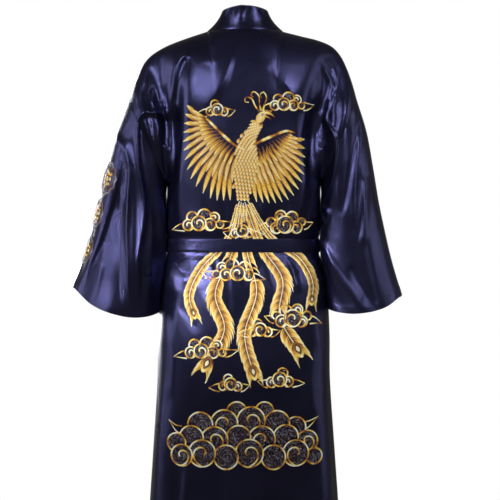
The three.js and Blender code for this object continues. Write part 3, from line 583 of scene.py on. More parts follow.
# Creases too fine for the solids, in the same columns as the folds
BODY_CREASES = table(
    FOLD_COLUMNS,
    # hanging from the shoulder blades
    (240, 460, -24, -21, -17, 3, 1.0),
    (260, 455, 15, 18, 14, 3, 1.0),
    # short creases gathered by the belt, above it
    (392, 468, 77, 75, 74, 2.2, 2.2),
    (405, 468, 52, 50, 49, 1.8, 1.8),
    (380, 468, 42, 39, 38, 2.1, -1.6),
    (410, 467, 19, 17, 17, 1.8, 1.4),
    (398, 467, -3, -2, -3, 2.2, 1.6),
    (415, 467, -14, -13, -13, 1.7, 1.3),
    (390, 468, -25, -22, -22, 2, -1.4),
    (402, 468, -45, -42, -41, 2, 2),
    (378, 468, -56, -52, -50, 2.2, 1.7),
    (400, 468, -84, -80, -78, 2.2, 2.1),
    # and below it
    (514, 575, 79, 80, 82, 2.3, 2.1),
    (514, 610, 68, 70, 73, 2.2, 2.3),
    (514, 565, 44, 45, 46, 1.9, 1.8),
    (514, 600, 28, 27, 25, 2.2, 1.6),
    (514, 560, 8, 7, 6, 1.9, 1.5),
    (514, 590, -3, -2, 0, 2.2, -1.4),
    (514, 570, -24, -25, -26, 2, 1.8),
    (514, 605, -44, -47, -50, 2.2, 2.1),
    (514, 580, -68, -71, -74, 2.2, 2.2),
    (514, 560, -82, -83, -84, 2, 1.6),
    # across the seat and down the skirt
    (560, 660, 60, 44, 34, 3, 1.6),
    (600, 690, 66, 50, 40, 2.6, -1.4),
    (570, 680, -48, -36, -26, 3, 1.6),
    (640, 740, -70, -52, -42, 3, 1.4),
    (700, 860, 34, 31, 29, 3.5, 1.7),
    (720, 900, -18, -19, -21, 3.5, 1.7),
    (740, 880, 4, 1, 0, 3.5, 1.4),
    (960, 1180, 50, 51, 50, 3, 1.8),
    (1000, 1700, 33, 34, 35, 3, 1.8),
    (980, 1200, 16, 17, 17, 3, 1.5),
    (1020, 1700, -2, -1, 0, 3, 1.6),
    (940, 1160, -19, -18, -19, 3, 1.6),
    (1010, 1700, -38, -38, -37, 3, 1.9),
    (970, 1230, -55, -56, -55, 3, 1.7),
    # the front and the sides
    (120, 300, 100, 102, 104, 3, 1.8),
    (150, 330, -100, -103, -105, 3, 1.8),
    (200, 380, 140, 134, 130, 3.5, 1.6),
    (180, 360, -142, -137, -132, 3.5, 1.7),
    (380, 468, 98, 97, 96, 2.3, 2.1),
    (396, 468, 116, 116, 115, 2.2, 1.8),
    (386, 468, 137, 138, 139, 2.4, 1.9),
    (400, 468, 156, 157, 157, 2.2, 1.6),
    (392, 468, -98, -97, -97, 2.2, 2.1),
    (405, 468, -116, -115, -115, 2.1, 1.7),
    (384, 468, -139, -140, -141, 2.4, 1.9),
    (402, 468, -158, -159, -160, 2.2, 1.6),
    (514, 590, 97, 96, 94, 2.3, 2.2),
    (514, 620, 113, 113, 112, 2.3, 1.9),
    (514, 575, 142, 142, 141, 2.2, 1.7),
    (514, 600, 162, 161, 160, 2.4, 1.5),
    (514, 585, -97, -96, -95, 2.2, 2.1),
    (514, 610, -112, -111, -109, 2.3, 1.9),
    (514, 580, -138, -138, -137, 2.2, 1.7),
    (514, 595, -160, -160, -158, 2.3, 1.5),
    (640, 860, 120, 118, 117, 3.5, 1.8),
    (660, 900, -121, -119, -118, 3.5, 1.8),
    (900, 1200, 137, 137, 136, 3.2, 1.8),
    (1000, 1700, 118, 118, 117, 3.2, 1.7),
    (930, 1180, -140, -141, -141, 3.2, 1.8),
    (1000, 1700, -120, -120, -121, 3.2, 1.7),
)
SLEEVE_CREASES = {
    "left": table(
        FOLD_COLUMNS,
        (0.55, 1.3, 0.045, 0.04, 0.04, 0.014, 1.6),
        (0.2, 0.8, 0.45, 0.44, 0.43, 0.012, 2.2),
        (0.2, 0.8, 0.55, 0.545, 0.54, 0.014, 1.8),
        (0.3, 0.9, 0.63, 0.62, 0.62, 0.013, 1.6),
        (0.02, 1.1, 0.72, 0.7, 0.69, 0.009, 4),
        (0.1, 1.2, 0.8, 0.815, 0.83, 0.009, 3.5),
        (0.4, 1.2, 0.9, 0.91, 0.91, 0.014, 1.7),
    ),
    "right": table(
        FOLD_COLUMNS,
        (0.6, 1.25, 0.05, 0.05, 0.06, 0.014, 1.6),
        (0.2, 0.7, 0.46, 0.45, 0.44, 0.014, 1.8),
        (0.25, 0.85, 0.55, 0.54, 0.54, 0.014, 1.7),
        (0.3, 0.9, 0.63, 0.62, 0.61, 0.013, 1.6),
        (0.02, 1.1, 0.71, 0.7, 0.68, 0.009, 4),
        (0.1, 1.2, 0.81, 0.82, 0.835, 0.009, 3.5),
        (0.4, 1.2, 0.91, 0.92, 0.92, 0.014, 1.7),
    ),
}

# Creases as the camera sees them from behind, in the units of VIEW. Each has its widths to the left and
# right of its way, its depth in mm, and its way.
SEEN_CREASES = (
    # the left shoulder and the left edge of the back's flat panel
    (3, 3, 7, ((190, 52), (183, 57), (178, 66), (175, 78), (173, 92), (171, 108), (168.5, 120))),
    (3, 4, -5, ((189, 58), (182, 64), (179, 76), (177.5, 92), (177, 106))),
    (3, 16, 3.5, ((186, 66), (180, 80), (178.5, 100), (176, 126), (172, 165), (168, 205), (166, 232))),
    (22, 3.5, 5, ((235, 44), (230, 62), (224, 80), (212, 99), (197, 118), (187, 136))),
    (4, 6, 1.5, ((200, 60), (212, 61), (222, 64))),
    # the left sleeve: the hook at its top, the ridges that run down from it, and the hollows
    (9, 3, 8, ((166, 122), (163, 116), (154, 112.8), (144, 112.8), (139, 119), (137.5, 134), (138, 157),
        (141, 179), (144.4, 198), (144.4, 218), (141, 240), (138, 262), (138, 290), (135.5, 316))),
    (1.8, 1.8, 2.6, ((163, 117), (154, 113.4), (144, 113.6), (138.4, 120), (136.8, 134), (137.4, 157),
        (140.4, 179), (143.8, 198), (143.8, 218), (140.4, 240), (137.4, 262), (137.4, 290))),
    (1.8, 1.8, 2.6, ((119, 140), (125, 151), (129.2, 170), (128.5, 190), (127.3, 207), (126.5, 229),
        (127.8, 257), (128.5, 284), (131, 308))),
    (3, 6, 6.5, ((114.5, 132), (120, 141), (125.5, 151), (129.7, 170), (129, 190), (127.8, 207), (127, 229),
        (128.3, 257), (129, 284), (132.5, 316))),
    (10, 3, 6.5, ((113, 122), (116, 137), (119.5, 150), (119, 170), (113, 195), (106, 217), (99, 240),
        (90, 262), (82, 290))),
    (4, 4, 3.5, ((160, 120), (158.5, 134), (157, 150))),
    (16, 4, -8, ((119, 176), (120, 207), (119, 229), (119, 257), (119, 284), (121, 312))),
    (3, 3, 2, ((150, 200), (152, 240), (150, 275), (147, 304))),
    (3, 3, 1.6, ((102, 262), (98, 280), (94, 300))),
    # the right shoulder: the long bent ridge and its crumpled end
    (2.5, 2.5, 6.5, ((323.5, 60), (325, 68), (330, 80), (331.5, 88), (328.5, 104), (325.5, 116), (327, 125),
        (333, 133), (335.5, 147), (334.5, 165), (331, 181), (325, 195), (319, 205))),
    (2.2, 2.2, 3, ((324, 59), (330, 64), (334.5, 73), (334.5, 83), (332, 92))),
    (3, 4, -4, ((320, 66), (322, 80), (321, 100), (319.5, 116))),
    (6, 5, -5, ((325, 132), (328, 150), (326, 170), (320, 188))),
    (2.2, 2.2, 4, ((317, 202), (323, 208), (328, 214), (327, 220), (321, 226), (320, 238))),
    (2, 2, 3, ((317, 211), (321, 217), (325, 225))),
    # the right sleeve
    (6, 5, 3, ((345, 90), (346, 120), (342, 150), (338, 180), (334, 215))),
    (3, 3, -4, ((361, 104), (357, 130), (354, 150), (350, 172), (346, 195), (341, 218))),
    (4, 3, 3, ((363, 134), (359, 150), (356, 170), (355, 200), (354, 230))),
    (3, 3.5, 4.5, ((366, 172), (366, 200), (365, 225), (361, 248))),
    (3, 3, 4, ((319, 236), (332, 262), (342, 279), (352, 292), (366, 314))),
    (5, 4, -3, ((350, 262), (360, 284), (372, 306))),
    # the right panel of the back, the dark band beside it, and the sheen above the belt
    (4, 8, 1, ((231, 79), (240, 72), (254, 67), (266, 69), (276, 73))),
    (3.5, 20, 6, ((270, 68), (285, 84), (300, 104), (314, 121))),
    (10, 4, 3, ((308, 68), (317, 84), (319, 98), (314, 118))),
    (8, 6, -4, ((313, 122), (311, 160), (308, 200), (306, 234))),
    (8, 4, 3.5, ((288, 178), (276, 193), (266, 208), (256, 222))),
    # across the hips
    (14, 10, 7, ((173, 250), (171, 275), (170, 312))),
    (10, 14, 6, ((314, 250), (316, 275), (317, 312))),
    (3, 2.5, 2.2, ((170, 262), (180, 269), (190, 272), (201, 270))),
    (2.5, 3, 1.8, ((204, 256), (210, 265), (213, 276), (212, 288))),
    (3, 2.5, 2, ((166, 283), (176, 291), (188, 294), (199, 290))),
    (2.5, 4, -2, ((172, 275), (182, 281), (194, 283))),
    (3, 3, 2.2, ((300, 258), (306, 272), (307, 290), (302, 306))),
    (2.5, 3, 1.8, ((290, 262), (296, 276), (297, 292))),
    (3, 3, 1.8, ((308, 310), (302, 326), (293, 338))),
    (4, 3, 2, ((168, 330), (172, 360), (170, 400))),
    (3, 4, 1.8, ((314, 350), (311, 380), (313, 420))),
)
SEEN_FADE = 0.16  # the least share of a seen crease's length over which each end fades
SEEN_REACH = 2.6  # how far from its way a seen crease is felt, in widths
SEEN_START = {"begin": 6, "rise": 34}  # how far behind the robe's middle they begin, and then grow


def seen_at(places):
    """Where places show in the camera's view."""
    scale = VIEW["units"] / VIEW["width"] * VIEW["distance"] / (VIEW["distance"] - places[..., 1])
    offset = np.stack([VIEW["side"] - places[..., 0], -VIEW["drop"] - places[..., 2]], axis=-1)
    return VIEW["units"] / 2 + scaled(offset, scale)


def seen_lift(places):
    """How far the seen creases move places backwards. The front and the outline are left as they are."""
    view = seen_at(places).reshape(-1, 2)
    total = np.zeros(len(view))
    for left, right, depth, route in SEEN_CREASES:
        path = catmull(route, 7 * len(route))
        starts, steps = path[:-1], np.diff(path, axis=0)
        reach = SEEN_REACH * max(left, right)
        low, high = path.min(axis=0) - reach, path.max(axis=0) + reach
        near = np.flatnonzero(((view > low) & (view < high)).all(axis=1))
        if not len(near):
            continue
        offset = view[near][:, None] - starts
        part = clamp((offset * steps).sum(axis=-1) / (steps ** 2).sum(axis=-1))
        gap = length(offset - part[..., None] * steps)
        best = (np.arange(len(near)), gap.argmin(axis=1))
        step, to = steps[best[1]], offset[best]
        on_left = step[:, 0] * to[:, 1] - step[:, 1] * to[:, 0] > 0
        share = (best[1] + part[best]) / len(steps)
        ends = min(0.5, max(SEEN_FADE, 2 * max(left, right) / length(steps).sum()))
        fade = ease(share / ends) * ease((1 - share) / ends)
        total[near] += depth * fade * bell(gap[best], np.where(on_left, left, right))
    behind = places[..., 1] - SEEN_START["begin"]
    return total.reshape(places.shape[:-1]) * ease(behind / SEEN_START["rise"])


# Soft ripples between the creases, in millimetres: height, and size across and down the cloth
RIPPLES = table("height across down", (1.0, 70, 170), (0.25, 28, 70), (0.06, 10, 18))


def ripple(places, seed):
    """A gentle unevenness of the cloth, the same in every run."""
    flat = places.reshape(-1, 3)
    total = np.zeros(len(flat))
    for i, (height, across, down) in enumerate(zip(*RIPPLES.values())):
        shift = Vector((seed * 7.3, i * 11.1, seed * 3.7))
        scale = (1 / across, 1 / across, 1 / down)
        total += height * np.array(
            [noise.noise(Vector((x * scale[0], y * scale[1], z * scale[2])) + shift) for x, y, z in flat]
        )
    return total.reshape(places.shape[:-1])


# Where the body is crumpled: the drop and reach of the place, the height, and the crumples' size
CRUMPLES = table(
    "drop reach height across down",
    (590, 95, 0.9, 30, 24),
    (590, 95, 0.35, 14, 12),
    (440, 45, 0.6, 24, 18),
    (1060, 150, 0.7, 34, 60),
)


def crumple(drop, places):
    """The small crumples of the body's cloth."""
    total = np.zeros(drop.shape)
    for i, (centre, reach, height, across, down) in enumerate(zip(*CRUMPLES.values())):
        flat = places.reshape(-1, 3) / (across, across, down) + i * 5.3
        values = np.array([noise.noise(Vector(place)) for place in flat.tolist()]).reshape(drop.shape)
        total += height * values * bell(drop - centre, reach)
    return total


def turned(depth):
    """How far the doubled cloth of a hem stands out, from its depth inside the edge."""
    return HEM["step"] * ease((HEM["turn"] - depth) / HEM["ramp"])


def body_detail(turn, drop, places):
    off_belt = 1 - bell(drop - BELT_DROP, BELT_PRESS["ripples"])
    hem = turned(HEM_DROP + places[..., 2])
    loose = ripple(places, 1) * off_belt + crumple(drop, places)
    return fold_sum(BODY_CREASES, turn, drop, 360) + loose + hem


def sleeve_detail(side):
    def detail(turn, along, places):
        hem = turned((1 - along) * SLEEVE_LENGTH)
        return fold_sum(SLEEVE_CREASES[side], turn, along, 1) + ripple(places, 2 + sign_of(side)) + hem

    return detail


# Meshes
def grid_mesh(name, grid, wrap_rows=False, wrap_columns=False, hub=None, flip=False):
    """A mesh object from a grid of points in mm, with a UV map in metres along the cloth."""
    rows, columns = grid.shape[:2]
    full = np.pad(grid, ((0, int(wrap_rows)), (0, int(wrap_columns)), (0, 0)), mode="wrap")
    us = np.zeros(full.shape[:2])
    vs = np.zeros(full.shape[:2])
    us[:, 1:] = np.cumsum(length(np.diff(full, axis=1)), axis=1) * MM
    vs[1:, :] = np.cumsum(length(np.diff(full, axis=0)), axis=0) * MM
    i, j = np.meshgrid(np.arange(full.shape[0] - 1), np.arange(full.shape[1] - 1), indexing="ij")
    corners = [(i, j), (i + 1, j), (i + 1, j + 1), (i, j + 1)]
    if hub is not None:
        a, b = full.shape[0] // 2 - 1, full.shape[1] // 2 - 1
        normal = np.cross(full[a + 1, b] - full[a, b], full[a, b + 1] - full[a, b])
        flip = np.dot(normal, full[a, b] - hub) < 0
    if flip:
        corners.reverse()
    faces = np.stack([(r % rows) * columns + (c % columns) for r, c in corners], axis=-1).reshape(-1, 4)
    mesh = new_mesh(name, grid, faces.tolist())
    layer = mesh.uv_layers.new(name="ClothUV")
    uv = np.stack([np.stack([us[r, c], vs[r, c]], axis=-1) for r, c in corners], axis=2)
    layer.data.foreach_set("uv", uv.reshape(-1).astype(np.float32))
    return finished_object(name, mesh)


def new_mesh(name, places, faces):
    """A mesh from places in mm."""
    mesh = bpy.data.meshes.new(name)
    mesh.from_pydata((places.reshape(-1, 3) * MM).tolist(), [], faces)
    return mesh


def finished_object(name, mesh):
    mesh.validate()
    mesh.update()
    piece = bpy.data.objects.new(name, mesh)
    bpy.context.scene.collection.objects.link(piece)
    return piece


def select_only(piece):
    bpy.ops.object.select_all(action="DESELECT")
    piece.select_set(True)
    bpy.context.view_layer.objects.active = piece


def thicken(piece, thickness):
    """Gives a cloth piece its thickness behind its outer face, with the reverse in its second material."""
    select_only(piece)
    modifier = piece.modifiers.new("Cloth thickness", "SOLIDIFY")
    modifier.thickness = thickness * MM
    modifier.offset = -1
    modifier.material_offset = 1
    bpy.ops.object.modifier_apply(modifier=modifier.name)


def smooth(piece, degrees=50):
    select_only(piece)
    bpy.ops.object.shade_smooth_by_angle(angle=math.radians(degrees))


def dress(piece, slot, materials, *nodes):
    """Finishes a piece: its materials, the body that it rides on and the solids that it stands for."""
    for material in materials:
        piece.data.materials.append(bpy.data.materials[material])
    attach(piece, BODY_NAME)
    if nodes:
        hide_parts(*nodes)


def panel_rows():
    """The rows of a body panel, close together over the round of the shoulder and at the belt."""
    even = np.linspace(0, 1, YOKE_ROWS + 1)[:-1]
    yoke = mix(even, (1 - np.cos(math.pi * even)) / 2, YOKE_CROWDING)
    even = np.linspace(0, 1, 2000)
    drops = mix(UNDERARM_DROP, HEM_DROP, even)
    density = 1 + BELT_CROWDING["more"] * bell(drops - BELT_DROP, BELT_CROWDING["reach"])
    total = np.cumsum(density)
    total = (total - total[0]) / (total[-1] - total[0])
    skirt = np.interp(np.linspace(0, 1, SKIRT_ROWS + 1), total, even)
    return np.concatenate([yoke, 1 + skirt])[:, None]


def part_shoulder(grid, seam_side):
    """Parts a panel's shoulder edge from the other panel's."""
    on_ridge = np.abs(grid[0, :, 0]) >= NECK["half_width"]
    grid[0, on_ridge, 1] = seam_side * SEAM_GAP / 2
    return grid


def back_grid():
    even = np.linspace(-1, 1, BACK_COLUMNS + 1)[None, :]
    across = even * (1 - SIDE_TRIM)
    grid = cloth_point("back", across, panel_rows(), 0.0, body_detail, FOLD_SHARE["back"])
    off_belt = 1 - bell(-grid[..., 2] - BELT_DROP, BELT_PRESS["creases"])
    grid[..., 1] += seen_lift(grid) * off_belt
    return with_allowances(part_shoulder(grid, 1), panel_rows())


def with_allowances(grid, along):
    """The back with its side edges turned in behind the fronts, so that no light comes through the seams."""
    below = (along >= 1)[..., None]
    for side, edge in (("right", 0), ("left", -1)):
        across = sign_of(side) * np.array([[1.0, 0.975]])
        behind = cloth_point("front", across, np.maximum(along, 1), ALLOWANCE, body_detail)
        stub = grid[:, edge, None] - sign_of(side) * points(np.array([[0.3, 0.6]]), 0, 0)
        turned_in = np.where(below, behind, stub)
        parts = [turned_in[:, ::-1], grid] if edge == 0 else [grid, turned_in]
        grid = np.concatenate(parts, axis=1)
    return grid


def front_grid(side):
    along = panel_rows()
    start = front_edge(along) + SIDE_TRIM
    across = mix(start, 1 - SIDE_TRIM, np.linspace(0, 1, FRONT_COLUMNS + 1)[None, :])
    return part_shoulder(front_point(side, across, along, body_detail), -1)


def sleeve_grid(side):
    even = np.linspace(0, 1, SLEEVE_COLUMNS + 1)[:-1]
    turn = np.interp(even, (0, SLEEVE_BACK_SHARE, 1), (0, 0.5, 1))[None, :]
    armhole = SEAM_GAP / 2 / RIDGE_LENGTH
    along = np.linspace(armhole, 1, SLEEVE_ROWS + 1)[:, None]
    return sleeve_point(side, turn, along, sleeve_detail(side))


# The collar bands
def standing_band(place, share):
    """The bands behind the neck. place is 0 in the middle of the back, and 1 or -1 at the neck points."""
    along = np.abs(place)
    seam = ridge_point("back", NECK_SHARE * 0.9999 * place)
    seam = np.broadcast_to(seam, np.broadcast(place, share).shape + (3,)).copy()
    lean = unit(points(-0.42 * seam[..., 0], mix(-12, -1, along), mix(55, 47, along ** 3)))
    crease = BAND_CREASE["depth"] * bell(seam[..., 0] - BAND_CREASE["x"], BAND_CREASE["width"])
    bow = BAND_BOW * np.sin(math.pi * np.maximum(share, 0))
    seam[..., 0] -= bow * place
    seam[..., 1] += crease * np.maximum(share, 0) - bow * (1 - along)
    return seam + scaled(lean, BAND_WIDTH * share + BAND_FOOT + 0 * along)


def falling_band(side, along, share):
    """The band from a neck point down, where it turns over until it lies in the front's surface."""
    sign = sign_of(side)
    edge = front_edge(along)
    seam = front_point(side, edge, along, body_detail)
    per_unit = length(seam - front_point(side, edge - 0.05, along)) / 0.05
    out = BAND_WIDTH * share + SEAM_GAP + 0 * along
    flat = unit(front_point(side, edge - out / per_unit, along) - seam)
    upright = unit(points(-36.0 * sign, -1.0, 47.0))
    turned = ease(along / 0.34)
    seam = np.broadcast_to(seam, out.shape + (3,)).copy()
    seam[..., 0] -= sign * BAND_BOW * np.sin(math.pi * share) * (1 - turned)
    direction = unit(mix(upright, flat, turned[..., None]))
    foot = (BAND_FOOT - SEAM_GAP) * (1 - turned)
    return seam + scaled(direction, out + foot)


def grid_normals(grid):
    """The directions out of a grid, away from the middle of the neck."""
    normals = unit(np.cross(np.gradient(grid, axis=1), np.gradient(grid, axis=0)))
    i, j = grid.shape[0] // 2, grid.shape[1] // 2
    return -normals if np.dot(normals[i, j], grid[i, j]) < 0 else normals


def band_grids():
    """Both bands' outer faces. They meet behind the neck, and their lower edges cover the neck seam."""
    share = np.linspace(0, 1, BAND_COLUMNS + 1)
    share = np.concatenate([[-BAND_LAP / BAND_WIDTH], share])[None, :]
    neck = np.linspace(0, 1, NECK_STATIONS + 1)[:, None]
    seam_place = math.asin(BAND_CREASE["x"] / NECK["half_width"]) / (math.pi / 2)
    rows = panel_rows()
    line = np.concatenate([
        falling_band("left", rows[1:][::-1], share),
        standing_band(mix(seam_place, 1, neck[::-1]), share),
        standing_band(mix(seam_place, -1, neck[1:-1]), share),
        falling_band("right", rows, share),
    ])
    line += BAND_RAISE * grid_normals(line)
    seam_row = len(rows) - 1 + NECK_STATIONS
    grids = {"left": line[: seam_row + 1].copy(), "right": line[seam_row:].copy()}
    for side, seam in (("left", grids["left"][-1]), ("right", grids["right"][0])):
        seam[:, 0] += sign_of(side) * BAND_SEAM_GAP / 2
    return grids


# Straps and cords
def strap_grid(path, side, normal, width, thickness, squareness, sides):
    """Sections with round edges along a path. side is the direction of the width."""
    angle = np.linspace(0, FULL_TURN, sides, endpoint=False)[None, :]
    cosine, sine = np.cos(angle), np.sin(angle)
    flat_x = np.sign(cosine) * np.abs(cosine) ** squareness
    flat_y = np.sign(sine) * np.abs(sine) ** squareness
    width = np.broadcast_to(np.asarray(width, float), (len(path),))[:, None, None]
    thickness = np.broadcast_to(np.asarray(thickness, float), (len(path),))[:, None, None]
    across = side[:, None, :] * flat_x[..., None] * width / 2
    out = normal[:, None, :] * flat_y[..., None] * thickness / 2
    return path[:, None, :] + across + out


def close_ends(grid):
    """Draws the first and last sections of a tube together, so that its ends are shut."""
    first, last = grid[0].mean(axis=0), grid[-1].mean(axis=0)
    inner = [mix(first, grid[0], t) for t in (0.02, 0.6)]
    outer = [mix(last, grid[-1], t) for t in (0.6, 0.02)]
    return np.concatenate([np.stack(inner), grid, np.stack(outer)])


# Waves of the belt round the waist: their height, how many go round, and where they start, in degrees
BELT_WAVES = {
    "middle": table("height count start", (0.35, 11, 0), (0.25, 23, 40)),
    "tilt": table("height count start", (0.02, 7, 15)),
    "press": table("height count start", (0.28, 5, 0)),
}


def belt_wave(kind, turns):
    rows = zip(*BELT_WAVES[kind].values())
    return sum(height * np.sin(np.radians(turns * count + start)) for height, count, start in rows)


def belt_grid():
    """The belt's ring, with shallow gathers that its knot and loops draw in it."""
    turns = np.linspace(0, 360, BELT_STATIONS + 1)[:-1]
    wave = belt_wave("middle", turns)
    middle = outside_point(turns, BELT_DROP + 0.6 * wave, BELT_OUT - BELT_WALL / 2)
    ahead = np.roll(middle, -1, axis=0) - np.roll(middle, 1, axis=0)
    out = away(unit(points(ahead[:, 1], -ahead[:, 0], 0 * turns)), middle)
    side = unit(points(0, 0, 1) + scaled(out, belt_wave("tilt", turns)))
    grid = strap_grid(middle, side, out, BELT_WIDTH, BELT_WALL, 0.42, BELT_SIDES)
    pressed = belt_wave("press", turns)[:, None] * np.sin(grid[..., 2] * 0.33)
    return grid + scaled(np.broadcast_to(out[:, None, :], grid.shape), pressed)


def tail_grid(side):
    """A belt end, from the knot's lower edge down before the front."""
    sign = sign_of(side)
    top = BELT_DROP + KNOT["height"] / 2 + TAIL_GAP
    share = np.linspace(0, 1, TAIL_ROWS + 1)[:, None]
    half = BELT_WIDTH / 2 * mix(0.62, 1, ease(share / 0.25))
    middle = KNOT_TURN - sign * (6 + 8 * share - 3 * share ** 2)
    clear = BELT_WALL + TAIL_CLEARANCE[side] + 2 * (1 - ease(share))
    across = np.linspace(0, 1, TAIL_COLUMNS + 1)[None, :]
    turn = middle + (2 * across - 1) * np.degrees(half / TAIL_RADIUS)
    gather = 1.1 * np.sin(across * 9.4) * (1 - ease(share / 0.4))
    wave = 3 * share * np.sin(9 * share + 2 * across) + gather
    return outside_point(turn, top + share * TAIL_LENGTH, clear + wave)


def catmull(places, count):
    """Points along a smooth line through the places."""
    places = np.asarray(places, float)
    padded = np.concatenate([[2 * places[0] - places[1]], places, [2 * places[-1] - places[-2]]])
    result = []
    for t in np.linspace(0, len(places) - 1, count):
        i = min(int(t), len(places) - 2)
        u = t - i
        a, b, c, d = padded[i : i + 4]
        bend, twist = 2 * a - 5 * b + 4 * c - d, 3 * b - a - 3 * c + d
        result.append(0.5 * (2 * b + (c - a) * u + bend * u * u + twist * u ** 3))
    return np.array(result)


def path_frames(path, up):
    """The side and normal directions along a path, with the normal near up."""
    ahead = unit(np.gradient(path, axis=0))
    up = np.broadcast_to(up, path.shape)
    side = unit(np.cross(ahead, up))
    return side, unit(np.cross(side, ahead))


def loop_grid(side):
    """A thread loop on a side seam, round the belt."""
    foot = LOOP_THREAD / 2 + SEAM_GAP + 0.2
    out = BELT_OUT + LOOP_THREAD / 2 + 0.8
    shares = np.array((-0.5, -0.46, -0.3, 0.3, 0.46, 0.5))
    clears = np.array((foot, out - 0.6, out, out, out - 0.6, foot))
    places = outside_point(sign_of(side) * 90.0, BELT_DROP + shares * LOOP_REACH, clears)
    path = catmull(places, LOOP_STATIONS)
    sides, normals = path_frames(path, np.array((0.0, 1.0, 0.0)))
    return close_ends(strap_grid(path, sides, normals, LOOP_THREAD, LOOP_THREAD, 1.0, 12))


# The knot: two turns of the belt drawn flat over each other, and the pass that holds them. Each has its lean,
# its width, its reach up and down, its shift across, and its share of the knot's depth.
KNOT_TURNS = table(
    "lean width reach shift depth",
    (0.55, 21, 15.5, 7, 0.86), (-0.55, 21, 15.5, -7, 0.86), (0, 15, 16.5, 0, 1),
)


def knot_grids():
    centre = outside_point(KNOT_TURN, BELT_DROP, BELT_OUT + SEAM_GAP + KNOT["depth"] / 2)
    grids = []
    for lean, width, reach, shift, outer in zip(*KNOT_TURNS.values()):
        angle = np.linspace(0, FULL_TURN, KNOT_STATIONS + 1)[:-1]
        drop = np.sin(angle) * reach
        deep = np.cos(angle) * (KNOT["depth"] / 2 - 1.4) * outer
        path = centre + points(drop * lean + shift, deep, drop)
        ahead = unit(np.roll(path, -1, axis=0) - np.roll(path, 1, axis=0))
        side = unit(points(1.0, 0.0, -lean * 0.9) + 0 * ahead)
        normal = unit(np.cross(side, ahead))
        pinch = width * (1 - 0.14 * np.abs(np.sin(angle)) ** 2)
        grids.append(strap_grid(path, side, normal, pinch, 2.6 + 0 * angle, 0.55, 18))
    return grids


# Node groups, each built once and placed in the materials with its own values
def new_group(name, inputs, outputs):
    group = bpy.data.node_groups.new(name, "ShaderNodeTree")
    for label, kind, default in inputs:
        socket = group.interface.new_socket(name=label, in_out="INPUT", socket_type=kind)
        socket.default_value = default
    for label, kind in outputs:
        group.interface.new_socket(name=label, in_out="OUTPUT", socket_type=kind)
    return group, group.nodes.new("NodeGroupInput"), group.nodes.new("NodeGroupOutput")


def feed(tree, node, **values):
    """Gives a node's inputs numbers, colours or links. Spaces in their names are underscores."""
    for name, value in values.items():
        key = int(name[1:]) if name[0] == "_" else name.replace("_", " ")
        if isinstance(value, bpy.types.NodeSocket):
            tree.links.new(value, node.inputs[key])
        else:
            node.inputs[key].default_value = value


def add_node(tree, kind, settings=None, **values):
    """A node with its settings and its inputs' values."""
    node = tree.nodes.new(kind)
    for name, value in (settings or {}).items():
        setattr(node, name, value)
    feed(tree, node, **values)
    return node


def math_node(tree, operation, a, b=0.0):
    return add_node(tree, "ShaderNodeMath", {"operation": operation}, _0=a, _1=b).outputs[0]


def cloth_uv(group):
    """The two outputs of the cloth's own UV map, across and along."""
    uv = add_node(group, "ShaderNodeUVMap", {"uv_map": "ClothUV"})
    return add_node(group, "ShaderNodeSeparateXYZ", Vector=uv.outputs["UV"]).outputs[:2]


def weave_group():
    """Fine satin weave: long floats down the cloth and short ties across them."""
    group, given, result = new_group(
        "Satin weave",
        [("Thread", "NodeSocketFloat", 0.0005)],
        [("Height", "NodeSocketFloat")],
    )
    across, along = cloth_uv(group)
    turns = math_node(group, "DIVIDE", FULL_TURN, given.outputs["Thread"])
    warp = math_node(group, "SINE", math_node(group, "MULTIPLY", across, turns))
    weft = math_node(group, "SINE", math_node(group, "MULTIPLY", along, turns))
    feed(group, result, Height=math_node(group, "ADD", warp, math_node(group, "MULTIPLY", weft, 0.3)))


def crinkle_group():
    """Small pressed creases and pulls of the satin, in object space."""
    group, given, result = new_group(
        "Satin crinkle",
        [("Size", "NodeSocketFloat", 18.0), ("Stretch", "NodeSocketFloat", 0.4)],
        [("Height", "NodeSocketFloat"), ("Tone", "NodeSocketFloat")],
    )
    place = group.nodes.new("ShaderNodeTexCoord").outputs["Object"]
    scale = add_node(group, "ShaderNodeCombineXYZ", X=1.0, Y=1.0, Z=given.outputs["Stretch"])
    drawn = add_node(group, "ShaderNodeVectorMath", {"operation": "MULTIPLY"}, _0=place, _1=scale.outputs[0])
    pulls = add_node(
        group, "ShaderNodeTexNoise",
        Vector=drawn.outputs[0], Scale=given.outputs["Size"], Detail=3.0, Roughness=0.45, Distortion=0.6,
    )
    ridged = math_node(group, "ABSOLUTE", math_node(group, "SUBTRACT", pulls.outputs["Fac"], 0.5))
    tone = add_node(group, "ShaderNodeTexNoise", Vector=place, Scale=6.0, Detail=2.0)
    feed(group, result, Height=ridged, Tone=tone.outputs["Fac"])


def stitch_group():
    """Threads laid side by side across a stitched ribbon, in its own UV map."""
    group, given, result = new_group(
        "Laid threads",
        [("Pitch", "NodeSocketFloat", 0.0006), ("Slant", "NodeSocketFloat", 0.35)],
        [("Height", "NodeSocketFloat"), ("Strand", "NodeSocketFloat")],
    )
    across, along = cloth_uv(group)
    place = math_node(group, "ADD", along, math_node(group, "MULTIPLY", across, given.outputs["Slant"]))
    turns = math_node(group, "DIVIDE", FULL_TURN, given.outputs["Pitch"])
    wave = math_node(group, "SINE", math_node(group, "MULTIPLY", place, turns))
    strands = math_node(group, "DIVIDE", place, given.outputs["Pitch"])
    random = add_node(
        group, "ShaderNodeTexWhiteNoise", {"noise_dimensions": "1D"}, W=math_node(group, "FLOOR", strands)
    )
    feed(group, result, Height=wave, Strand=random.outputs["Value"])


def placed_group(tree, name, **values):
    return add_node(tree, "ShaderNodeGroup", {"node_tree": bpy.data.node_groups[name]}, **values)


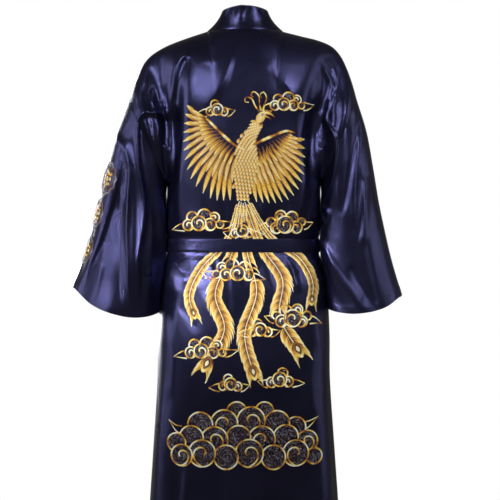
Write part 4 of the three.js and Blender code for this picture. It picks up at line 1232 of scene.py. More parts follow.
def mixed(tree, share, first, second):
    """The colour between two others."""
    settings = {"data_type": "RGBA"}
    return add_node(tree, "ShaderNodeMix", settings, _0=share, _6=(*first, 1), _7=(*second, 1)).outputs[2]


def new_material(name):
    material = bpy.data.materials.new(name)
    material.use_nodes = True
    return material.node_tree, material.node_tree.nodes["Principled BSDF"]


def satin_material(name, deep, lit, metallic, roughness, crinkle, strength):
    """Satin: a dark dye whose reflections are tinted, broken by weave and small creases."""
    tree, shader = new_material(name)
    height, tone = placed_group(tree, "Satin crinkle", Size=crinkle, Stretch=0.4).outputs
    weave = placed_group(tree, "Satin weave", Thread=0.0006)
    colour = mixed(tree, tone, deep, lit)
    rough = add_node(tree, "ShaderNodeMapRange", Value=tone, To_Min=roughness - 0.04, To_Max=roughness + 0.05)
    folds = add_node(tree, "ShaderNodeBump", Strength=strength, Distance=0.004, Height=height)
    threads = add_node(
        tree, "ShaderNodeBump",
        Strength=0.12, Distance=0.0002, Height=weave.outputs["Height"], Normal=folds.outputs[0],
    )
    feed(
        tree, shader,
        Base_Color=colour, Metallic=metallic, Roughness=rough.outputs[0], Normal=threads.outputs[0],
    )


def thread_material(name, stops, roughness, metallic, pitch):
    """Embroidery thread, whose colour runs along each stitch line with the piece's own shade."""
    tree, shader = new_material(name)
    laid = placed_group(tree, "Laid threads", Pitch=pitch, Slant=0.35)
    shade = add_node(tree, "ShaderNodeAttribute", {"attribute_name": "shade"})
    uneven = add_node(tree, "ShaderNodeMapRange", Value=laid.outputs["Strand"], To_Min=-0.09, To_Max=0.09)
    value = math_node(tree, "ADD", shade.outputs["Fac"], uneven.outputs[0])
    ramp = add_node(tree, "ShaderNodeValToRGB", Fac=value)
    elements = ramp.color_ramp.elements
    while len(elements) < len(stops):
        elements.new(1.0)
    for element, (place, colour) in zip(elements, stops):
        element.position = place
        element.color = (*colour, 1)
    bump = add_node(tree, "ShaderNodeBump", Strength=0.5, Distance=0.0004, Height=laid.outputs["Height"])
    feed(
        tree, shader,
        Base_Color=ramp.outputs["Color"], Roughness=roughness, Metallic=metallic, Normal=bump.outputs[0],
    )


# Settings that a user would change
class RobeCloth(bpy.types.PropertyGroup):
    deep: FloatVectorProperty(
        name="Dye", description="Darkest tone of the satin", subtype="COLOR", default=(0.013, 0.013, 0.042)
    )
    lit: FloatVectorProperty(
        name="Sheen", description="Its lightest tone, in its reflections", subtype="COLOR",
        default=(0.05, 0.051, 0.14),
    )
    gloss: FloatProperty(
        name="Roughness", description="How soft the satin's reflections are", default=0.28, min=0, max=1
    )
    wall: FloatProperty(
        name="Thickness", description="Thickness of the cloth", default=WALL * MM, unit="LENGTH"
    )


class RobeStage(bpy.types.PropertyGroup):
    key_power: FloatProperty(
        name="Key light", default=1.8, unit="POWER",
        description="Power of the left key light. The right one and the hip light follow it",
    )
    side_power: FloatProperty(
        name="Side light", default=30, unit="POWER",
        description="Power of the left light. The right one and the front light follow it",
    )
    world: FloatProperty(name="Fill", description="Strength of the light all round", default=0.11)


class RobeStep(bpy.types.Operator):
    """A step of the robe that can be undone."""
    bl_options = {"REGISTER", "UNDO"}


class ROBE_OT_camera(RobeStep):
    """Puts the camera behind the robe, level with its waist"""
    bl_idname = "robe.camera"
    bl_label = "Camera"

    distance: FloatProperty(
        name="Distance", description="From the robe's middle", default=VIEW["distance"] * MM, unit="LENGTH"
    )
    width: FloatProperty(
        name="Width", description="Width of the view at the robe", default=VIEW["width"] * MM, unit="LENGTH"
    )
    side: FloatProperty(
        name="Middle", description="Middle of the view, across", default=VIEW["side"] * MM, unit="LENGTH"
    )
    drop: FloatProperty(
        name="Drop", description="Middle of the view, down", default=VIEW["drop"] * MM, unit="LENGTH"
    )

    def execute(self, context):
        camera = bpy.data.objects.new("Camera", bpy.data.cameras.new("Camera"))
        context.scene.collection.objects.link(camera)
        camera.location = (self.side, self.distance, -self.drop)
        camera.rotation_euler = (math.radians(90), 0, math.radians(180))
        camera.data.lens = camera.data.sensor_width * self.distance / self.width
        context.scene.camera = camera
        return {"FINISHED"}


# The colours of each thread, from its darkest shade, 0, to its lightest, 1
GOLD_STOPS = (
    (0.0, (0.12, 0.035, 0.006)),
    (0.22, (0.5, 0.19, 0.02)),
    (0.45, (0.95, 0.55, 0.05)),
    (0.68, (1.0, 0.84, 0.24)),
    (0.86, (1.0, 0.98, 0.86)),
)
CREAM_STOPS = (
    (0.0, (0.3, 0.11, 0.015)),
    (0.3, (0.82, 0.46, 0.09)),
    (0.58, (0.98, 0.78, 0.34)),
    (1.0, (1.0, 0.96, 0.78)),
)
SLATE_STOPS = (
    (0.0, (0.02, 0.012, 0.01)),
    (0.3, (0.2, 0.1, 0.045)),
    (0.55, (0.17, 0.16, 0.22)),
    (0.8, (0.36, 0.34, 0.44)),
    (1.0, (0.6, 0.57, 0.68)),
)


NAVY_STOPS = ((0.0, (0.01, 0.01, 0.025)), (1.0, (0.04, 0.04, 0.09)))


class ROBE_OT_materials(RobeStep):
    """Makes the satins and the threads"""
    bl_idname = "robe.materials"
    bl_label = "Cloth and threads"

    def execute(self, context):
        weave_group()
        crinkle_group()
        stitch_group()
        cloth = context.scene.robe_cloth
        deep, lit, gloss = tuple(cloth.deep), tuple(cloth.lit), cloth.gloss
        dull = tuple(value * 0.55 for value in deep)
        satin_material("Satin", deep, lit, 0.9, gloss, 16.0, 0.08)
        satin_material("Band satin", deep, lit, 0.9, gloss - 0.02, 20.0, 0.08)
        satin_material("Belt satin", deep, lit, 0.9, gloss + 0.06, 30.0, 0.25)
        satin_material("Satin reverse", dull, dull, 0.5, 0.6, 24.0, 0.2)
        thread_material("Gold thread", GOLD_STOPS, 0.45, 0.0, 0.0007)
        thread_material("Cream thread", CREAM_STOPS, 0.45, 0.0, 0.0007)
        thread_material("Slate thread", SLATE_STOPS, 0.5, 0.1, 0.0007)
        thread_material("Navy thread", NAVY_STOPS, 0.6, 0.0, 0.0009)
        return {"FINISHED"}


SATINS = ("Satin", "Satin reverse")


def cloth_piece(name, grid, slot, materials, node, wall, hub, wrap=False):
    """A piece of cloth from the grid of its outer face, with its reverse and its thickness in mm."""
    piece = grid_mesh(name, grid, wrap_columns=wrap, hub=hub)
    dress(piece, slot, materials, node)
    thicken(piece, wall)
    smooth(piece)
    return piece


class ROBE_OT_back(RobeStep):
    """Makes the back panel"""
    bl_idname = "robe.back"
    bl_label = "Back"

    def execute(self, context):
        wall = context.scene.robe_cloth.wall / MM
        back = cloth_piece("back", back_grid(), "satin", SATINS, "back_panel", wall, BODY_HUB)
        return {"FINISHED"}


class ROBE_OT_fronts(RobeStep):
    """Makes the two front panels"""
    bl_idname = "robe.fronts"
    bl_label = "Fronts"

    def execute(self, context):
        wall = context.scene.robe_cloth.wall / MM
        for side in SIDES:
            node = "front_" + side
            front = cloth_piece(node + "_cloth", front_grid(side), "satin", SATINS, node, wall, BODY_HUB)
        return {"FINISHED"}


class ROBE_OT_sleeves(RobeStep):
    """Makes the two sleeves"""
    bl_idname = "robe.sleeves"
    bl_label = "Sleeves"

    def execute(self, context):
        wall = context.scene.robe_cloth.wall / MM
        for side in SIDES:
            node, hub, grid = "sleeve_" + side, arm_centre(side, np.array(0.5)), sleeve_grid(side)
            sleeve = cloth_piece(node + "_cloth", grid, "satin", SATINS, node, wall, hub, wrap=True)
        return {"FINISHED"}


class ROBE_OT_collar(RobeStep):
    """Makes the two collar bands"""
    bl_idname = "robe.collar"
    bl_label = "Collar bands"

    def execute(self, context):
        for side, grid in band_grids().items():
            name, node, hub = "collar_" + side, "collar_band_" + side, np.zeros(3)
            band = cloth_piece(name, grid, "band_satin", ("Band satin",), node, BAND_WALL, hub)
        return {"FINISHED"}


def joined(name, pieces):
    """Joins the pieces into one object."""
    select_only(pieces[0])
    for piece in pieces[1:]:
        piece.select_set(True)
    bpy.ops.object.join()
    pieces[0].name = name
    return pieces[0]


class ROBE_OT_belt(RobeStep):
    """Makes the belt, its knot, its ends and its thread loops"""
    bl_idname = "robe.belt"
    bl_label = "Belt"

    def execute(self, context):
        ring = grid_mesh("belt_ring", belt_grid(), wrap_rows=True, wrap_columns=True, hub=BODY_HUB)
        satin = ("Belt satin",)
        dress(ring, "belt_satin", satin, "belt")
        smooth(ring, 70)
        grids = knot_grids()
        knot = joined("knot", [grid_mesh("turn", grid, True, True, flip=True) for grid in grids])
        dress(knot, "belt_satin", satin, "belt_knot")
        smooth(knot, 70)
        for side in SIDES:
            grid, node = tail_grid(side), "belt_tail_" + side
            tail = cloth_piece("tail_" + side, grid, "belt_satin", satin, node, BELT_WALL, BODY_HUB)
            loop = grid_mesh("loop_" + side, loop_grid(side), wrap_columns=True)
            dress(loop, "thread", ("Navy thread",), "belt_loop_" + side)
            smooth(loop, 80)
        return {"FINISHED"}


# The small stitches, in mm, and their lines: the piece, the columns of its grid, and the rows and the columns
# that are sewn along. The back's grid also has its seam allowances, and a band's the strip on the neck seam.
STITCH = {"pitch": 4.2, "length": 2.7, "width": 0.6, "rise": 0.35, "sunk": 0.12}
SEWN = (
    ("back", BACK_COLUMNS + 5, (HEM_ROW,), ()),
    ("front_left_cloth", FRONT_COLUMNS + 1, (HEM_ROW,), ()),
    ("front_right_cloth", FRONT_COLUMNS + 1, (HEM_ROW,), ()),
    ("sleeve_left_cloth", SLEEVE_COLUMNS, (CUFF_ROW,), ()),
    ("sleeve_right_cloth", SLEEVE_COLUMNS, (CUFF_ROW,), ()),
    ("collar_left", BAND_COLUMNS + 2, (), (2, BAND_COLUMNS)),
    ("collar_right", BAND_COLUMNS + 2, (), (2, BAND_COLUMNS)),
    ("belt_ring", BELT_SIDES, (), (4, 10)),
)


def outer_face(name, columns):
    """Places and outward directions on a piece's outer face, in the rows and columns of its grid, in mm."""
    mesh = bpy.data.objects[name].data
    count = len(mesh.vertices) // (1 if name == "belt_ring" else 2)
    values = np.empty(len(mesh.vertices) * 3, np.float32)
    mesh.vertices.foreach_get("co", values)
    places = values.reshape(-1, 3)[:count].reshape(-1, columns, 3) / MM
    mesh.vertices.foreach_get("normal", values)
    return places, values.reshape(-1, 3)[:count].reshape(-1, columns, 3)


def stitch_run(places, normals):
    """Five places of each stitch along a line: its two ends, its two sides and its top."""
    along = distances(places)
    middles = np.arange(STITCH["pitch"], along[-1] - STITCH["pitch"], STITCH["pitch"])

    def at(values, spots):
        return np.stack([np.interp(spots, along, column) for column in values.T], axis=-1)

    middle, up = at(places, middles), unit(at(normals, middles))
    ahead = unit(at(places, middles + 1) - at(places, middles - 1))
    step, side = ahead * STITCH["length"] / 2, np.cross(up, ahead) * STITCH["width"] / 2
    foot, top = middle - up * STITCH["sunk"], middle + up * STITCH["rise"]
    return np.stack([foot - step, foot - side, foot + step, foot + side, top], axis=1)


class ROBE_OT_sewing(RobeStep):
    """Sews the hems, the cuffs, the collar bands and the belt with small stitches"""
    bl_idname = "robe.sewing"
    bl_label = "Sewing"

    def execute(self, context):
        runs = []
        for name, columns, rows, lines in SEWN:
            places, normals = outer_face(name, columns)
            runs += [stitch_run(places[row], normals[row]) for row in rows]
            runs += [stitch_run(places[:, line], normals[:, line]) for line in lines]
        stitches = np.concatenate(runs)
        first = 5 * np.arange(len(stitches))[:, None]
        sides = [first + corners for corners in ((0, 1, 4), (1, 2, 4), (2, 3, 4), (3, 0, 4))]
        faces = np.concatenate(sides).tolist() + (first + (3, 2, 1, 0)).tolist()
        sewing = finished_object("sewing", new_mesh("sewing", stitches, faces))
        dress(sewing, "thread", ("Navy thread",))
        smooth(sewing, 70)
        return {"FINISHED"}


# Stitched ribbons: places across, from edge to edge, and the share of the height there
PROFILES = {
    3: ((-1, 0), (0, 1), (1, 0)),
    4: ((-1, 0), (-0.45, 1), (0.45, 1), (1, 0)),
    5: ((-1, 0), (-0.6, 0.85), (0, 1), (0.6, 0.85), (1, 0)),
}
SUNK = 0.14  # how far a ribbon's edges lie in the cloth
OUTLINE = 3.8  # width of a gold outline
OUTLINE_RISE = 0.85
# The short stitches in rings inside a cloud's lobes: how far apart the rings are, the pitch and the part of
# it that a stitch takes, its width and height, its wander off the ring, and its distance from a lobe in front
DASH = {
    "ring": 2.8, "pitch": 7.4, "part": 0.78, "width": 1.6, "rise": 0.4, "clear": 2.4,
    "wander": (0, 0.8, -0.8, 0.2),
}


class Stitching:
    """Ribbons of thread on a cloth, gathered into one piece. They are drawn in mm, across and down."""

    def __init__(self, lay):
        self.lay, self.size, self.centre = lay, 1.0, np.zeros(2)
        self.marks, self.heights, self.shades, self.uvs, self.faces = [], [], [], [], []
        self.count = 0

    def line(self, path, width, height, shade, columns=4, rim=0.0):
        """A ribbon along a path. Its width, height and shade may change along it."""
        stations = len(path)
        if stations < 2:
            return
        path = self.centre + (path - self.centre) * self.size
        width = np.asarray(width) * self.size
        side = crosswise(unit(np.gradient(path, axis=0)))
        offset, rise = np.array(PROFILES[columns], float).T
        along = distances(path)
        half = np.broadcast_to(width, stations)[:, None] / 2 * offset
        self.marks.append((path[:, None] + side[:, None] * half[..., None]).reshape(-1, 2))
        tall = np.broadcast_to(height, stations)[:, None] * rise
        self.heights.append((tall - SUNK * (rise == 0)).ravel())
        self.shades.append((np.broadcast_to(shade, stations)[:, None] - rim * np.abs(offset)).ravel())
        self.uvs.append(np.stack([half, along[:, None] + 0 * half], axis=-1).reshape(-1, 2) * MM)
        i, j = np.meshgrid(np.arange(stations - 1), np.arange(columns), indexing="ij")
        here, there = self.count + i * columns, self.count + (i + 1) * columns
        beside = (j + 1) % columns
        quads = np.stack([here + j, here + beside, there + beside, there + j], axis=-1)
        self.faces += quads.reshape(-1, 4).tolist()
        last = self.count + (stations - 1) * columns
        self.faces.append(list(range(self.count + columns - 1, self.count - 1, -1)))
        self.faces.append(list(range(last, last + columns)))
        self.count += stations * columns

    def finish(self, name, material, slot):
        """Lays the ribbons on the cloth and makes them one piece."""
        places, normals = self.lay(np.concatenate(self.marks))
        places += normals * (np.concatenate(self.heights) * MM)[:, None]
        mesh = bpy.data.meshes.new(name)
        mesh.from_pydata(places.tolist(), [], self.faces)
        shade = mesh.attributes.new("shade", "FLOAT", "POINT")
        shade.data.foreach_set("value", np.concatenate(self.shades).astype(np.float32))
        corners = np.empty(len(mesh.loops), np.int32)
        mesh.loops.foreach_get("vertex_index", corners)
        layer = mesh.uv_layers.new(name="ClothUV")
        layer.data.foreach_set("uv", np.concatenate(self.uvs)[corners].ravel().astype(np.float32))
        piece = finished_object(name, mesh)
        dress(piece, slot, (material,))
        smooth(piece, 60)


def search_tree(name):
    return BVHTree.FromObject(bpy.data.objects[name], bpy.context.evaluated_depsgraph_get())


def found(hits):
    """The places and the outward directions of a search tree's hits."""
    return np.array([hit[0] for hit in hits]), np.array([hit[1] for hit in hits])


def lay_on_back():
    """Puts drawing points onto the back, as seen from behind."""
    tree = search_tree("back")
    towards = Vector((0, -1, 0))

    def lay(marks):
        return found([tree.ray_cast(Vector((-x, 0.4, -y)), towards) for x, y in (marks * MM).tolist()])

    return lay


def lay_on_sleeve(side, turn, along):
    """Puts drawing points onto a sleeve round one place of it, down the sleeve."""
    tree = search_tree("sleeve_" + side + "_cloth")
    step = 0.01
    by_turn = (sleeve_form(side, turn + step, along) - sleeve_form(side, turn - step, along)) / (2 * step)
    by_along = (sleeve_form(side, turn, along + step) - sleeve_form(side, turn, along - step)) / (2 * step)
    down = unit(by_along)
    slant = np.dot(by_turn, down)
    reach = length(by_turn - slant * down)

    def lay(marks):
        turns = marks[:, 0] / reach
        alongs = (marks[:, 1] - turns * slant) / length(by_along)
        guess = sleeve_point(side, turn + turns, along + alongs, sleeve_detail(side)) * MM
        return found([tree.find_nearest(Vector(place)) for place in guess.tolist()])

    return lay


def crosswise(way):
    """The drawing directions at right angles to others."""
    return np.stack([-way[..., 1], way[..., 0]], axis=-1)


def around(x, y, reach, angle):
    """Drawing points round a place, at angles from straight down."""
    return np.stack([x + reach * np.sin(angle), y + reach * np.cos(angle)], axis=-1)


def outline_shade(path, phase):
    """The way an outline's thread runs from brown through yellow to white and back."""
    angle = distances(path) * FULL_TURN
    return 0.56 + 0.34 * np.sin(angle / 55 + phase) + 0.1 * np.sin(angle / 17 + 2 * phase)


def inside(path, x, y, radius):
    return np.hypot(path[..., 0] - x, path[..., 1] - y) < radius


def visible(path, lobes):
    """The runs of a path that no lobe covers."""
    shown = np.ones(len(path), bool)
    for x, y, radius, _ in lobes:
        shown &= ~inside(path, x, y, radius)
    breaks = np.flatnonzero(np.diff(shown.astype(int))) + 1
    runs = zip(np.split(path, breaks), np.split(shown, breaks))
    return [run for run, seen in runs if seen[0] and len(run) > 2]


def lobe_line(x, y, radius, curl):
    """A lobe's outline, which winds on inwards where the lobe has a curl."""
    turns = 1.85 if curl else 1.0
    round_ = np.linspace(0, turns, max(14, int(FULL_TURN * radius * turns * 0.75 / 2.6)))
    reach = radius * (1 - 0.8 * clamp((round_ - 1) / 0.85) ** 0.6)
    return around(x, y, reach, (curl or 1) * round_ * FULL_TURN)


def stitch_cloud(gold, slate, lobes, wisps, random):
    """A scroll cloud: its lobes, front ones first, its pointed wisps, and short stitches inside."""
    for i, (x, y, radius, curl) in enumerate(lobes):
        for run in visible(lobe_line(x, y, radius, curl), lobes[:i]):
            gold.line(run, OUTLINE, OUTLINE_RISE, outline_shade(run, x * 0.07 + i))
        for reach in np.arange(DASH["width"], radius - 2.2, DASH["ring"]):
            steps = max(3, int(FULL_TURN * reach / DASH["pitch"]))
            for k in range(steps):
                start = k + random.uniform(0, 0.5)
                angle = FULL_TURN * (start + np.linspace(0, DASH["part"], 4)) / steps
                wander = reach + random.uniform(-0.5, 0.5) + np.array(DASH["wander"])
                dash = around(x, y, wander, angle)
                if not any(inside(dash, a, b, r + DASH["clear"]).any() for a, b, r, _ in lobes[:i]):
                    slate.line(dash, DASH["width"], DASH["rise"], random.uniform(0.0, 0.9), columns=3)
    for x, y, to_x, to_y in wisps:
        for lift in (-1, 1):
            bend = (x + (to_x - x) * 0.45, y + (to_y - y) * 0.2 + lift * 6.5)
            path = catmull([(x, y + lift * 9), bend, (to_x, to_y)], 14)
            for run in visible(path, lobes):
                taper = np.linspace(1, 0.4, len(run))
                gold.line(run, OUTLINE * taper, OUTLINE_RISE, outline_shade(run, x * 0.05 + lift))


def leaf(stitching, base, tip, width, bend=0.0, rise=(0.4, 1.0), shades=(0.2, 0.9), fullest=1.0, rim=0.3):
    """A tapered leaf or feather from base to tip. fullest above 1 puts its widest part near the tip."""
    base, span = np.array(base, float), np.subtract(tip, base)
    t = np.linspace(0.02, 1, max(6, int(np.hypot(*span) / 3.6)))
    path = base + t[:, None] * span + (bend * np.sin(math.pi * t))[:, None] * crosswise(span)
    widths = width * np.maximum(np.sin(math.pi * t ** fullest), 0.08) ** 0.75
    stitching.line(path, widths, mix(*rise, t), mix(*shades, t ** 1.3), columns=5, rim=rim)
    return path


def fan(stitching, roots, tips, count, width, **looks):
    """Feathers side by side, from a line of roots to a line of tips."""
    pairs = zip(catmull(roots, count), catmull(tips, count))
    return [leaf(stitching, root, tip, width, **looks) for root, tip in pairs]


def rosette(stitching, x, y, radius, petals, rise, shades=(0.15, 0.95)):
    """Petals round a coiled centre."""
    middle = np.array((x, y))
    for k in range(petals):
        way = around(0, 0, 1, FULL_TURN * (k + 0.25) / petals)
        width = radius * 2.6 / petals * 1.35
        base, tip = middle + way * radius * 0.3, middle + way * radius
        leaf(stitching, base, tip, width, rise=(rise, rise), shades=shades, fullest=1.2)
    turns = np.linspace(0.15, 1, 22)
    coil = around(x, y, radius * 0.36 * turns, turns * 14)
    stitching.line(coil, 2.2, rise + 0.35, 0.55 + 0.4 * turns, columns=3)


# Shapes of scroll clouds, round their middles: lobes of across, down, radius and curl, and the roots and tips
# of wisps
CLOUD_SHAPES = {
    "broad": (
        ((-6, 5, 17, 1), (21, 8, 14, -1), (-31, 9, 13, 1), (7, -12, 16, 0), (31, -8, 12, -1),
         (-22, -9, 13, 0), (44, 8, 9, 0)),
        ((-40, 14, -72, 20), (50, 10, 82, 2)),
    ),
    "round": (
        ((1, 2, 20, -1), (-25, 8, 14, 1), (23, 10, 13, 1), (-15, -15, 14, 0), (12, -18, 13, 1),
         (35, -3, 11, 0), (-38, -5, 9, 0)),
        ((42, 6, 72, 16), (-44, 4, -66, -4)),
    ),
    "small": (
        ((0, 0, 15, 1), (18, 5, 11, -1), (-17, 6, 11, 1), (6, -13, 11, 0)),
        ((27, 9, 54, 10), (-26, 9, -48, 3)),
    ),
}
# Where they float, in mm from the neck seam's middle, to the right and down
CLOUDS = table(
    "shape right down size mirror",
    ("broad", 92, 170, 0.8, 1),
    ("small", -62, 186, 0.85, -1),
    ("broad", -98, 436, 0.95, 1),
    ("round", 92, 442, 0.95, -1),
    ("small", -6, 458, 0.9, 1),
    ("broad", -22, 548, 0.95, -1),
    ("round", 106, 652, 0.95, 1),
    ("small", 34, 678, 0.95, -1),
    ("broad", -92, 722, 0.95, 1),
    ("small", 78, 790, 1.05, 1),
    ("small", -32, 800, 0.9, -1),
)
# The bank of billows near the knees, front ones first
BANK = table(
    "x y radius curl",
    (-142, 962, 24, 1), (-96, 956, 30, -1), (-42, 964, 27, 0), (10, 955, 31, 1), (64, 964, 27, 0),
    (114, 956, 29, -1), (156, 964, 18, 0),
    (-154, 934, 21, 0), (-120, 922, 27, 0), (-68, 926, 30, 1), (-14, 920, 27, 0), (38, 924, 30, -1),
    (92, 920, 28, 0), (140, 930, 24, 1),
    (-100, 892, 28, 0), (-46, 888, 30, -1), (14, 882, 31, 1), (72, 888, 28, 0), (114, 898, 23, 0),
    (-18, 862, 22, 0), (44, 860, 20, 0),
)
BANK_WISPS = ((-142, 906, -172, 884), (126, 896, 166, 876))


def placed_clouds():
    """The lobes and wisps of every cloud and of the bank, where they are on the back."""
    clouds = []
    for shape, right, down, size, mirror in zip(*CLOUDS.values()):

        def at(x, y):
            return right + mirror * size * x, down + size * y

        lobes, wisps = CLOUD_SHAPES[shape]
        clouds.append((
            [(*at(x, y), size * radius, mirror * curl) for x, y, radius, curl in lobes],
            [(*at(x, y), *at(to_x, to_y)) for x, y, to_x, to_y in wisps],
        ))
    clouds.append((list(zip(*BANK.values())), BANK_WISPS))
    return clouds


# The bird's long tail plumes, from its body down: their lines, and half their widths
PLUMES = (
    (((-12, 392), (-40, 478), (-96, 540), (-124, 600), (-112, 652)), 12),
    (((6, 390), (56, 470), (122, 518), (152, 570), (150, 622)), 12),
    (((-8, 394), (-26, 500), (-66, 596), (-46, 680), (-92, 768)), 19),
    (((0, 394), (36, 490), (84, 566), (78, 650), (126, 736)), 19),
    (((-4, 396), (4, 500), (26, 594), (0, 690), (22, 786)), 17),
)


# The eye of a plume, its largest leaf first: the thread, and the size, the height and the shades of each leaf
EYE = (
    ("gold", 1.0, 1.3, (0.1, 0.95)),
    ("slate", 0.66, 1.7, (0.2, 0.45)),
    ("cream", 0.36, 2.1, (0.9, 1)),
)


def stitch_plume(threads, route, half, covers, random):
    """A tail plume: a shaft, slanting barbs that lengthen down it, and an eye among the last of them."""
    path = catmull(route, int(distances(np.array(route, float))[-1] / 1.5))
    count = len(path)
    ahead = unit(np.gradient(path, axis=0))
    for i in range(4, count, 3):
        if any(inside(path[i], x, y, radius + 3) for x, y, radius, _ in covers):
            continue
        share = i / count
        reach = half * mix(0.45, 1, ease(share / 0.55)) * random.uniform(0.9, 1.08)
        t = np.linspace(0, 1, 7)[:, None]
        thread = threads["cream" if (i // 3) % 4 < 2 else "gold"]
        for sign in (-1, 1):
            side = sign * crosswise(ahead[i])
            down = (0.35 * t + 1.15 * t ** 2.2) * ahead[i]
            barb = path[i] + reach * (0.95 * np.sin(t * 1.45) * side + down)
            widths = 4.3 * np.sin(math.pi * np.linspace(0.14, 0.97, 7)) ** 0.6
            tones = np.linspace(0.12, 0.98, 7) + random.uniform(-0.12, 0.06)
            thread.line(barb, widths, 0.6 + 0.25 * (i % 2), tones, 3, 0.3)
    for run in visible(path[: count - 8], covers):
        threads["gold"].line(run, 2.4, 1.15, 0.8)
    end, way = path[-1] - ahead[-1] * half * 0.9, ahead[-1] * half
    for thread, size, rise, shades in EYE:
        base, tip = end - way * size * 0.9, end + way * size * 1.25
        leaf(threads[thread], base, tip, half * 1.75 * size, rise=(rise, rise), shades=shades)


BIRD_SIZE = 0.8  # the bird is drawn large, and stitched at this size about the root of its tail
# The wings' layers, the long feathers first: the thread, the lines of the feathers' roots and tips, their
# number and width, and their heights and shades from root to tip
WINGS = (
    (
        "gold", ((-26, 268), (-74, 222), (-128, 168)),
        ((-40, 388), (-92, 384), (-146, 336), (-170, 262), (-172, 190), (-162, 120)),
        15, 15, (0.3, 0.6), (0.1, 0.95),
    ),
    (
        "cream", ((-20, 258), (-70, 214), (-122, 164)),
        ((-34, 338), (-84, 326), (-124, 286), (-146, 232), (-150, 182), (-146, 134)),
        14, 13, (0.7, 1.0), (0.3, 0.85),
    ),
    (
        "gold", ((-12, 250), (-64, 206), (-116, 160)),
        ((-26, 294), (-66, 276), (-100, 246), (-120, 208), (-128, 174), (-132, 146)),
        14, 11, (1.1, 1.35), (0.1, 1.0),
    ),
    (
        "gold", ((30, 270), (78, 238), (126, 214)),
        ((34, 392), (80, 396), (126, 384), (160, 340), (172, 280), (170, 214)),
        14, 15, (0.3, 0.6), (0.1, 0.95),
    ),
    (
        "cream", ((26, 260), (76, 230), (122, 208)),
        ((34, 344), (74, 342), (114, 324), (142, 286), (150, 248), (150, 214)),
        13, 13, (0.7, 1.0), (0.3, 0.85),
    ),
    (
        "gold", ((20, 252), (72, 222), (118, 202)),
        ((30, 298), (66, 292), (98, 274), (122, 248), (132, 224), (134, 206)),
        12, 11, (1.1, 1.35), (0.1, 1.0),
    ),
)
WING_ARMS = (
    ((-2, 246), (-30, 232), (-66, 200), (-104, 162), (-138, 138)),
    ((10, 246), (40, 226), (80, 208), (116, 194), (142, 198)),
)
# The middle line of its neck and body, and half the body's width along it
BIRD_SPINE = ((44, 168), (30, 188), (14, 214), (6, 248), (4, 290), (-2, 340), (-6, 392))
BIRD_WIDTH = table("along half", (0, 9), (0.2, 13), (0.42, 24), (0.6, 29), (0.8, 23), (1, 9))
SPINE_STATIONS = 120
SCALE = {"pitch": 8.5, "shift": 4.2, "length": 17, "width": 10.5}  # the scales that cover neck and body
BIRD_CREST = (
    ((42, 140), (30, 124), (20, 104), (4, 100), (2, 112), (12, 114)),
    ((46, 138), (42, 118), (40, 96), (26, 84), (18, 94), (26, 100)),
    ((52, 138), (56, 120), (62, 102), (54, 86), (44, 92), (48, 102)),
)


def stitch_wings(threads):
    """The wings: layers of feathers with their shafts, and the arm over them."""
    for name, roots, tips, count, width, rise, shades in WINGS:
        looks = {"rise": rise, "shades": shades, "fullest": 1.25, "bend": 0.06, "rim": 0.42}
        for feather in fan(threads[name], roots, tips, count, width, **looks):
            threads["slate"].line(feather[1:-2], 1.4, rise[1] + 0.3, 0.4, columns=3)
    for arm in WING_ARMS:
        path = catmull(arm, 60)
        widths = 9 * np.sin(np.linspace(0.5, 3.0, 60)) ** 0.6
        threads["gold"].line(path, widths, 1.9, outline_shade(path, 1.0), 5, 0.3)


def stitch_body(cream):
    """The scales of the bird's neck and body, in rows that are set between each other."""
    spine = catmull(BIRD_SPINE, SPINE_STATIONS)
    half_width = curve(BIRD_WIDTH, "along", "half")
    ahead = unit(np.gradient(spine, axis=0))
    for row, i in enumerate(range(0, SPINE_STATIONS - 4, 4)):
        half = float(half_width(i / SPINE_STATIONS))
        side = crosswise(ahead[i])
        for offset in np.arange(-half, half + 1, SCALE["pitch"]) + (SCALE["shift"] if row % 2 else 0):
            root = spine[i] + side * offset
            tip = root + ahead[i] * SCALE["length"] + side * offset * 0.12
            shades = (0.05, 0.95)
            leaf(cream, root, tip, SCALE["width"], rise=(0.8, 1.9), shades=shades, fullest=1.35, rim=0.28)


def stitch_head(gold, cream, slate):
    """The bird's cheek, the two halves of its beak, its eye, its crest and the feathers of its nape."""
    leaf(cream, (34, 176), (56, 138), 25, rise=(1.6, 1.8), shades=(0.5, 0.85))
    leaf(gold, (52, 144), (84, 156), 9, bend=-0.16, rise=(1.9, 1.5), shades=(0.9, 0.2), fullest=0.6)
    leaf(gold, (52, 152), (74, 162), 6, bend=-0.1, rise=(1.7, 1.3), shades=(0.6, 0.1), fullest=0.6)
    rosette(slate, 50, 149, 4.5, 5, 2.2, (0.0, 0.0))
    for plume in BIRD_CREST:
        path = catmull(plume, 46)
        gold.line(path, np.linspace(5.2, 3.0, 46), 1.2, outline_shade(path, plume[0][0]), 4, 0.2)
    roots, tips = ((40, 172), (26, 196), (14, 220)), ((16, 168), (4, 196), (-10, 226))
    fan(gold, roots, tips, 7, 6, rise=(1.2, 1.2), shades=(0.2, 1.0), fullest=1.3, bend=0.15)


def stitch_bird(threads):
    """A long-tailed bird of the old crane and phoenix kind, drawn for this robe."""
    stitch_wings(threads)
    stitch_body(threads["cream"])
    stitch_head(**threads)


